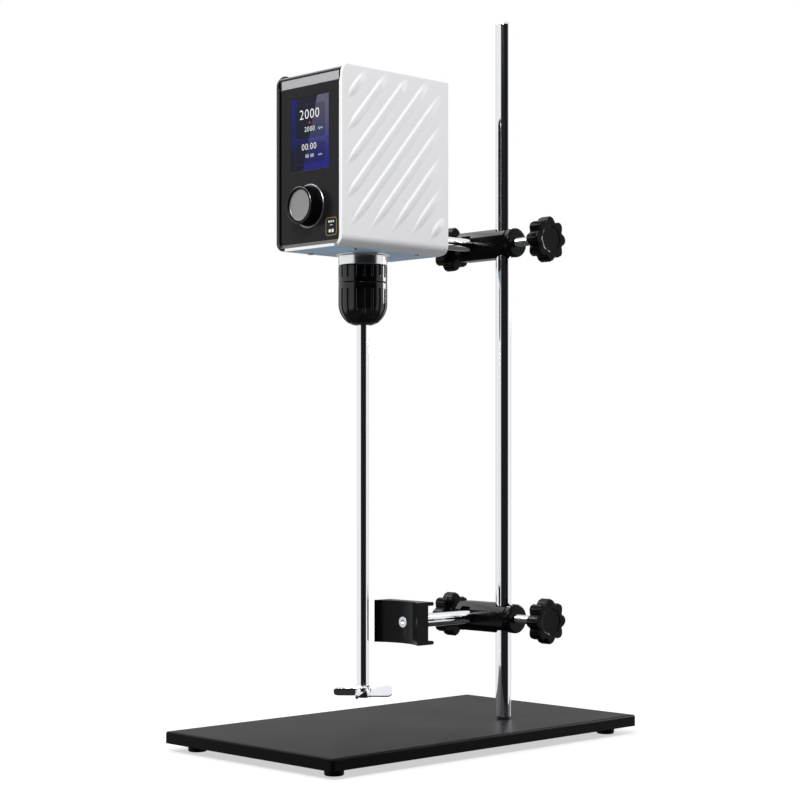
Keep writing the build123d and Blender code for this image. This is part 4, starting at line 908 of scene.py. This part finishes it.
softened = {
    "base_plate": 0.5,
    "upper_boss": 0.5,
    "lower_boss": 0.5,
    "core_frame": 0.5,
    "bottom_cover": 0.3,
    "front_bezel": 0.4,
    "front_panel": 0.25,
    "vessel_saddle": 0.6,
    "rear_cover": 0.4,
    "power_inlet": 0.4,
    "power_rocker": 0.35,
    "chuck_body": 0.2,
    "jaw_1": 0.2,
    "jaw_2": 0.2,
    "jaw_3": 0.2,
    "propeller": 0.3,
    "rod_washer": 0.2,
    "rod_bolt": 0.4,
    "saddle_screw": 0.2,
    "bottom_screws": 0.2,
    "rear_screws": 0.2,
    "foot_screws": 0.2,
    "inlet_pins": 0.3,
    "display_module": 0.1,
    "base_foot_front_left": 0.5,
    "base_foot_front_right": 0.5,
    "base_foot_rear_left": 0.5,
    "base_foot_rear_right": 0.5,
    "chassis": 0.3,
    "control_board": 0.1,
    "encoder_body": 0.1,
    "encoder_plunger": 0.1,
    "encoder_shaft": 0.1,
    "lower_bearing": 0.1,
    "upper_bearing": 0.1,
    "motor_can": 0.2,
    "rotor": 0.2,
    "stator": 0.15,
    "spindle": 0.15,
}
for node, edge in softened.items():
    joined(node, edge * mm)
print("packed pieces softened:", len(softened))


# ---- speed knob

dial = {
    "rear": 16.8 * mm,
    "front": 15.0 * mm,
    "flutes": 48,
    "fluteDepth": 0.3 * mm,
    "flutesFrom": 1.5 * mm,
    "flutesTo": 2.2 * mm,
    "fluteFade": 1.5 * mm,
    "skin": 0.2 * mm,
    "step": 0.6 * mm,
    "turns": 288,
    "capGap": 0.1 * mm,
    "pocket": 2.8 * mm,
    "capEdge": 0.6 * mm,
    "capStep": 0.2 * mm,
    "rimWidth": 0.28 * mm,
    "rimBelow": 0.62 * mm,
    "rimSunk": 0.12 * mm,
    "ringInner": 17.1 * mm,
    "ringSlope": 0.2 * mm,
    "ringEdge": 0.6 * mm,
    "ringShare": 0.6,
    "ringRound": 0.15 * mm,
}
low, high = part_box("speed_knob")
knobX, knobZ = (low.x + high.x) / 2, (low.z + high.z) / 2
knobDepth = high.y - low.y
forward = (0, -1, 0)
knobFoot = (knobX, high.y, knobZ)


def fluted(radius, height, angle):
    # fine flutes on the side wall, faded out at both ends
    rising = np.clip((height - dial["flutesFrom"]) / dial["fluteFade"], 0, 1)
    falling = np.clip((knobDepth - dial["flutesTo"] - height) / dial["fluteFade"], 0, 1)
    side = rising * falling * (radius > dial["front"] - dial["skin"])
    return radius - side * dial["fluteDepth"] * (0.5 + 0.5 * np.cos(dial["flutes"] * angle))


low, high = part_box("knob_cap")
capFoot = (knobX, high.y, knobZ)
capDepth, capRadius = high.y - low.y, (high.x - low.x) / 2
mouth, seat = capRadius + dial["capGap"], knobDepth - dial["pocket"]
corners = [(0, 0), (dial["rear"], 0), (dial["front"], knobDepth), (mouth, knobDepth), (mouth, seat), (0, seat)]
radii = np.array([0, 0.5, 0.6, 0.3, 0.1, 0]) * mm
profile = denser(eased(corners, radii), dial["step"])
stands(turned("knobBody", profile, knobFoot, forward, fluted, dial["turns"]), "speed_knob")

faceEdge, faceDepth = capRadius - dial["capEdge"], capDepth - dial["capStep"]
corners = [(0, 0), (capRadius, 0), (capRadius, capDepth), (faceEdge, capDepth)]
corners += [(faceEdge - dial["capStep"], faceDepth), (0, faceDepth)]
radii = np.array([0, 0.1, 0.3, 0.1, 0.1, 0]) * mm
stands(turned("knobCap", eased(corners, radii), capFoot, forward), "knob_cap")

rimHeight = knobDepth - dial["rimBelow"]
rimRadius = dial["rear"] + (dial["front"] - dial["rear"]) * rimHeight / knobDepth - dial["rimSunk"]
angles = np.linspace(0, 2 * math.pi, 13)
circle = dial["rimWidth"] * np.stack([np.cos(angles), np.sin(angles)], axis=1)
settle(turned("knobRim", circle + (rimRadius, rimHeight), knobFoot, forward), "knob", "ring_chrome")

low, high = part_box("knob_ring")
ringFoot = (knobX, high.y, knobZ)
ringDepth, inner, outer = high.y - low.y, dial["ringInner"], (high.x - low.x) / 2
corners = [(inner, 0), (outer, 0), (outer - dial["ringSlope"], ringDepth * dial["ringShare"])]
corners += [(outer - dial["ringEdge"], ringDepth), (inner, ringDepth), (inner, 0)]
stands(turned("knobBaseRing", eased(corners, dial["ringRound"]), ringFoot, forward), "knob_ring")
print("speed knob made")


# ---- display figures and panel marks

def litFinish(name, colour):
    paint = Paint(name, Base_Color=(0.02, 0.02, 0.02), Roughness=0.3, Emission_Strength=1.0)
    grain = paint.noise(0.3 * mm, detail=1)
    return paint.wear(Emission_Color=paint.mix(grain, *around(colour, 0.06)))


def printFinish(name, colour, metallic=0.0):
    paint = Paint(name, Metallic=metallic, Roughness=0.4)
    grain = paint.noise(0.3 * mm, detail=2)
    return paint.wear(Base_Color=paint.mix(grain, *around(colour, 0.1)), Normal=paint.bump(grain, 0.003 * mm))


figureWhite = litFinish("lit figures", (0.93, 0.94, 0.97))
figureRed = litFinish("lit mark", (0.55, 0.03, 0.03))
printWhite = printFinish("white print", (0.75, 0.75, 0.75))
printGold = printFinish("gold print", (0.36, 0.28, 0.1), 0.6)
figures = {
    "thickness": 0.03 * mm,
    "spacing": 1.12,
    "thinner": 0.01,
    "curveSteps": 4,
    "gap": 0.0001 * mm,
    "rows": (
        ("2000", 0.495, 0.757, 11.6 * mm),
        ("2000", 0.50, 0.555, 6.0 * mm),
        ("rpm", 0.78, 0.552, 3.4 * mm),
        ("00:00", 0.485, 0.315, 7.6 * mm),
        ("00 00", 0.50, 0.19, 4.2 * mm),
        ("min", 0.78, 0.19, 3.0 * mm),
    ),
}
setMark = {"place": (0.5, 0.648), "half": 1.1 * mm, "below": 0.8 * mm, "above": 1.0 * mm}
label = {
    "x": 36.0 * mm,
    "z": 442.5 * mm,
    "width": 13.4 * mm,
    "height": 15.0 * mm,
    "radius": 2.6 * mm,
    "line": 0.5 * mm,
    "thickness": 0.02 * mm,
    "smallest": 0.05 * mm,
    "points": 64,
}
labelMarks = (
    (-2.6, 4.1, 1.7, 1.7, 0.3),
    (0.0, 4.1, 1.7, 1.7, 0.3),
    (2.6, 4.1, 1.7, 1.7, 0.3),
    (0.0, 1.2, 3.4, 0.5, 0.2),
    (-1.7, -3.6, 2.8, 2.8, 1.39),
    (1.8, -3.6, 2.6, 2.6, 0.5),
)


def onScreen(u, v):
    # shares of the screen's width and height, as x and z
    left, bottom = screen["left"], screen["bottom"]
    return left + u * (screen["right"] - left), bottom + v * (screen["top"] - bottom)


def written(name, text, size, x, y, z):
    # flat figures that face the user, as a mesh with their place in it
    curve = bpy.data.curves.new(name, "FONT")
    curve.body = text
    curve.size = size
    curve.align_x = "CENTER"
    curve.align_y = "CENTER"
    curve.extrude = figures["thickness"] / 2
    curve.resolution_u = figures["curveSteps"]
    curve.space_character = figures["spacing"]
    curve.offset = -figures["thinner"] * size
    source = linked(name, curve)
    bpy.context.view_layer.update()
    mesh = bpy.data.meshes.new_from_object(source)
    bpy.data.objects.remove(source)
    weld(mesh, figures["gap"])
    mesh.transform(Matrix.Translation((x, y, z)) @ Matrix.Rotation(math.pi / 2, 4, "X"))
    return linked(name, mesh)


def plaque(name, x, z, width, height, radius, hole=0.0):
    # a thin rounded rectangle on the panel, or a ring of that outline when hole is set
    count, front = label["points"], panelLow.y - label["thickness"]
    angle = np.linspace(0, 2 * math.pi, count, endpoint=False)

    def outline(inset, y):
        size = max(radius - inset, label["smallest"])
        cornerX = np.sign(np.cos(angle)) * (width / 2 - inset - size)
        cornerZ = np.sign(np.sin(angle)) * (height / 2 - inset - size)
        acrossX, acrossZ = size * np.cos(angle), size * np.sin(angle)
        return np.stack([x + cornerX + acrossX, np.full(count, y), z + cornerZ + acrossZ], axis=1)

    loops = [outline(0, front + label["thickness"]), outline(0, front)]
    if hole:
        loops += [outline(hole, front), outline(hole, front + label["thickness"])]
    faces = gridFaces(len(loops), count, bool(hole), True)
    if not hole:
        faces += [list(range(count)), list(range(count, 2 * count))]
    return addMesh(name, np.vstack(loops), faces)


def printed(piece, slotName, finish):
    # a mark on the head, with a finish of its own under the slot's name
    settle(piece, "head", slotName)
    piece.data.materials[0] = finish


figureFace = screen["face"] - figures["thickness"] / 2
for number, (text, u, v, size) in enumerate(figures["rows"]):
    x, z = onScreen(u, v)
    piece = written("figure" + str(number), text, size, x, figureFace, z)
    printed(piece, "display_glass", figureWhite)
x, z = onScreen(*setMark["place"])
left, right, foot, tip = x - setMark["half"], x + setMark["half"], z - setMark["below"], z + setMark["above"]
points = np.array([(left, figureFace, foot), (right, figureFace, foot), (x, figureFace, tip)])
points = np.vstack([points, points + np.array([0, figures["thickness"], 0])])
faces = [[0, 1, 2], [5, 4, 3], [0, 3, 4, 1], [1, 4, 5, 2], [2, 5, 3, 0]]
printed(addMesh("setMark", points, faces), "display_glass", figureRed)

ring = plaque("labelRing", label["x"], label["z"], label["width"], label["height"], label["radius"], label["line"])
printed(ring, "panel_black", printGold)
for number, mark in enumerate(labelMarks):
    shiftX, shiftZ, width, height, radius = (value * mm for value in mark)
    piece = plaque("labelMark" + str(number), label["x"] + shiftX, label["z"] + shiftZ, width, height, radius)
    printed(piece, "panel_black", printWhite)
print("display and marks made")


# ---- stage: floor, light and camera

studio = {
    "position": (1207.7 * mm, -1182.6 * mm, 249.4 * mm),
    "azimuth": 45.84,
    "focal": 1910.7,
    "horizon": 460.04,
    "picture": 800,
    "sensor": 36.0,
    "farthest": 50.0,
    "floorHalf": 0.8,
    "floorFade": (0.3, 0.72),
    "floorColour": (0.86, 0.87, 0.88),
    "floorBounce": (0.26, 0.27, 0.29),
    "floorGlow": 0.6,
}
azimuth = math.radians(studio["azimuth"])

reach = studio["floorHalf"]
corners = np.array([(-reach, -reach, 0), (reach, -reach, 0), (reach, reach, 0), (-reach, reach, 0)], float)
floorMesh = addMesh("floor", corners, [[0, 1, 2, 3]])
floor = Paint("pale floor", Roughness=0.8, Specular_IOR_Level=0.1)
x, y, z = floor.axes()
fade = ((x * x + y * y) ** 0.5).ramp(*studio["floorFade"])
glow = studio["floorGlow"] + fade * (1 - studio["floorGlow"])
seen = floor.node("ShaderNodeLightPath", out="Is Camera Ray")
floor.wear(Base_Color=floor.mix(seen, studio["floorBounce"], studio["floorColour"]))
whiteGlow = floor.node("ShaderNodeEmission", None, {"Color": (1, 1, 1), "Strength": 1.0})
shaders = {0: glow * seen, 1: Wire(floor, floor.shader.outputs[0]), 2: whiteGlow}
covering = floor.node("ShaderNodeMixShader", None, shaders)
floor.give(floor.tree.nodes["Material Output"], "Surface", covering)
floorMesh.visible_glossy = False
floorMesh.data.materials.append(floor.material)

# the room: white to the camera, soft grey to plain surfaces, and bright and dark walls for polished ones;
# the walls' bearings are in degrees to the right of the camera, the heights are the z of a direction
room = {
    "darkWall": (-41.0, 70.0),
    "rearWall": (150.0, 212.0),
    "soft": 4.0,
    "dark": 0.012,
    "rear": 0.4,
    "bright": 0.95,
    "wallTop": (0.35, 0.6),
    "below": 0.1,
    "belowFrom": (-0.55, -0.3),
    "ambient": 0.26,
    "ambientBelow": 0.25,
    "ambientFrom": (-0.4, 0.2),
    "cool": 1.02,
}
world = bpy.data.worlds.new("studio room")
scene.world = world
world.use_nodes = True
walls = Nodes(world.node_tree)
dirX, dirY, dirZ = walls.split(walls.node("ShaderNodeTexCoord", out="Generated"))
toCamera = dirX * math.sin(azimuth) - dirY * math.cos(azimuth)
toRight = dirX * math.cos(azimuth) + dirY * math.sin(azimuth)
bearing = toRight.math("ARCTAN2", toRight, toCamera) * (180 / math.pi)
bearing = bearing + (bearing < -90) * 360


def sector(start, end):
    # 1 between two bearings
    soft = room["soft"]
    return bearing.ramp(start - soft, start + soft) * (1 - bearing.ramp(end - soft, end + soft))


def tinted(level):
    return walls.node("ShaderNodeCombineColor", sockets={"Red": level, "Green": level, "Blue": level * room["cool"]})


aside = 1 - dirZ.ramp(*room["wallTop"])
darkPart, rearPart = sector(*room["darkWall"]) * aside, sector(*room["rearWall"]) * aside
level = room["bright"] - darkPart * (room["bright"] - room["dark"])
level = level - rearPart * (room["bright"] - room["rear"])
downward = 1 - dirZ.ramp(*room["belowFrom"])
mirrored = level - downward * (level - room["below"])
ambient = room["ambientBelow"] + (room["ambient"] - room["ambientBelow"]) * dirZ.ramp(*room["ambientFrom"])
cameraRay = walls.node("ShaderNodeLightPath", out="Is Camera Ray")
glossyRay = walls.node("ShaderNodeLightPath", out="Is Glossy Ray")
unseen = walls.mix(glossyRay, tinted(ambient), tinted(mirrored))
walls.give(walls.tree.nodes["Background"], "Color", walls.mix(cameraRay, unseen, (1, 1, 1)))


def softbox(name, place, size, power):
    # a square lamp that faces the middle of the object
    light = bpy.data.lights.new(name, "AREA")
    light.shape = "RECTANGLE"
    light.size = light.size_y = size
    light.energy = power
    lamp = linked(name, light)
    lamp.location = place
    lamp.rotation_euler = (Vector((0.0, 0.0, 0.33)) - Vector(place)).to_track_quat("-Z", "Y").to_euler()


softbox("keyLight", (1.0, -1.6, 1.85), 0.6, 60.0)
softbox("rearLight", (0.4, 2.2, 1.0), 0.9, 34.0)
softbox("topLight", (-1.0, -0.1, 1.7), 1.4, 24.0)

camera = bpy.data.cameras.new("view")
camera.sensor_width = studio["sensor"]
camera.lens = studio["focal"] / studio["picture"] * studio["sensor"]
camera.shift_y = (studio["horizon"] - studio["picture"] / 2) / studio["picture"]
camera.clip_end = studio["farthest"]
eye = linked("view", camera)
eye.location = studio["position"]
eye.rotation_euler = (math.pi / 2, 0, azimuth)
scene.camera = eye
print("stage set")
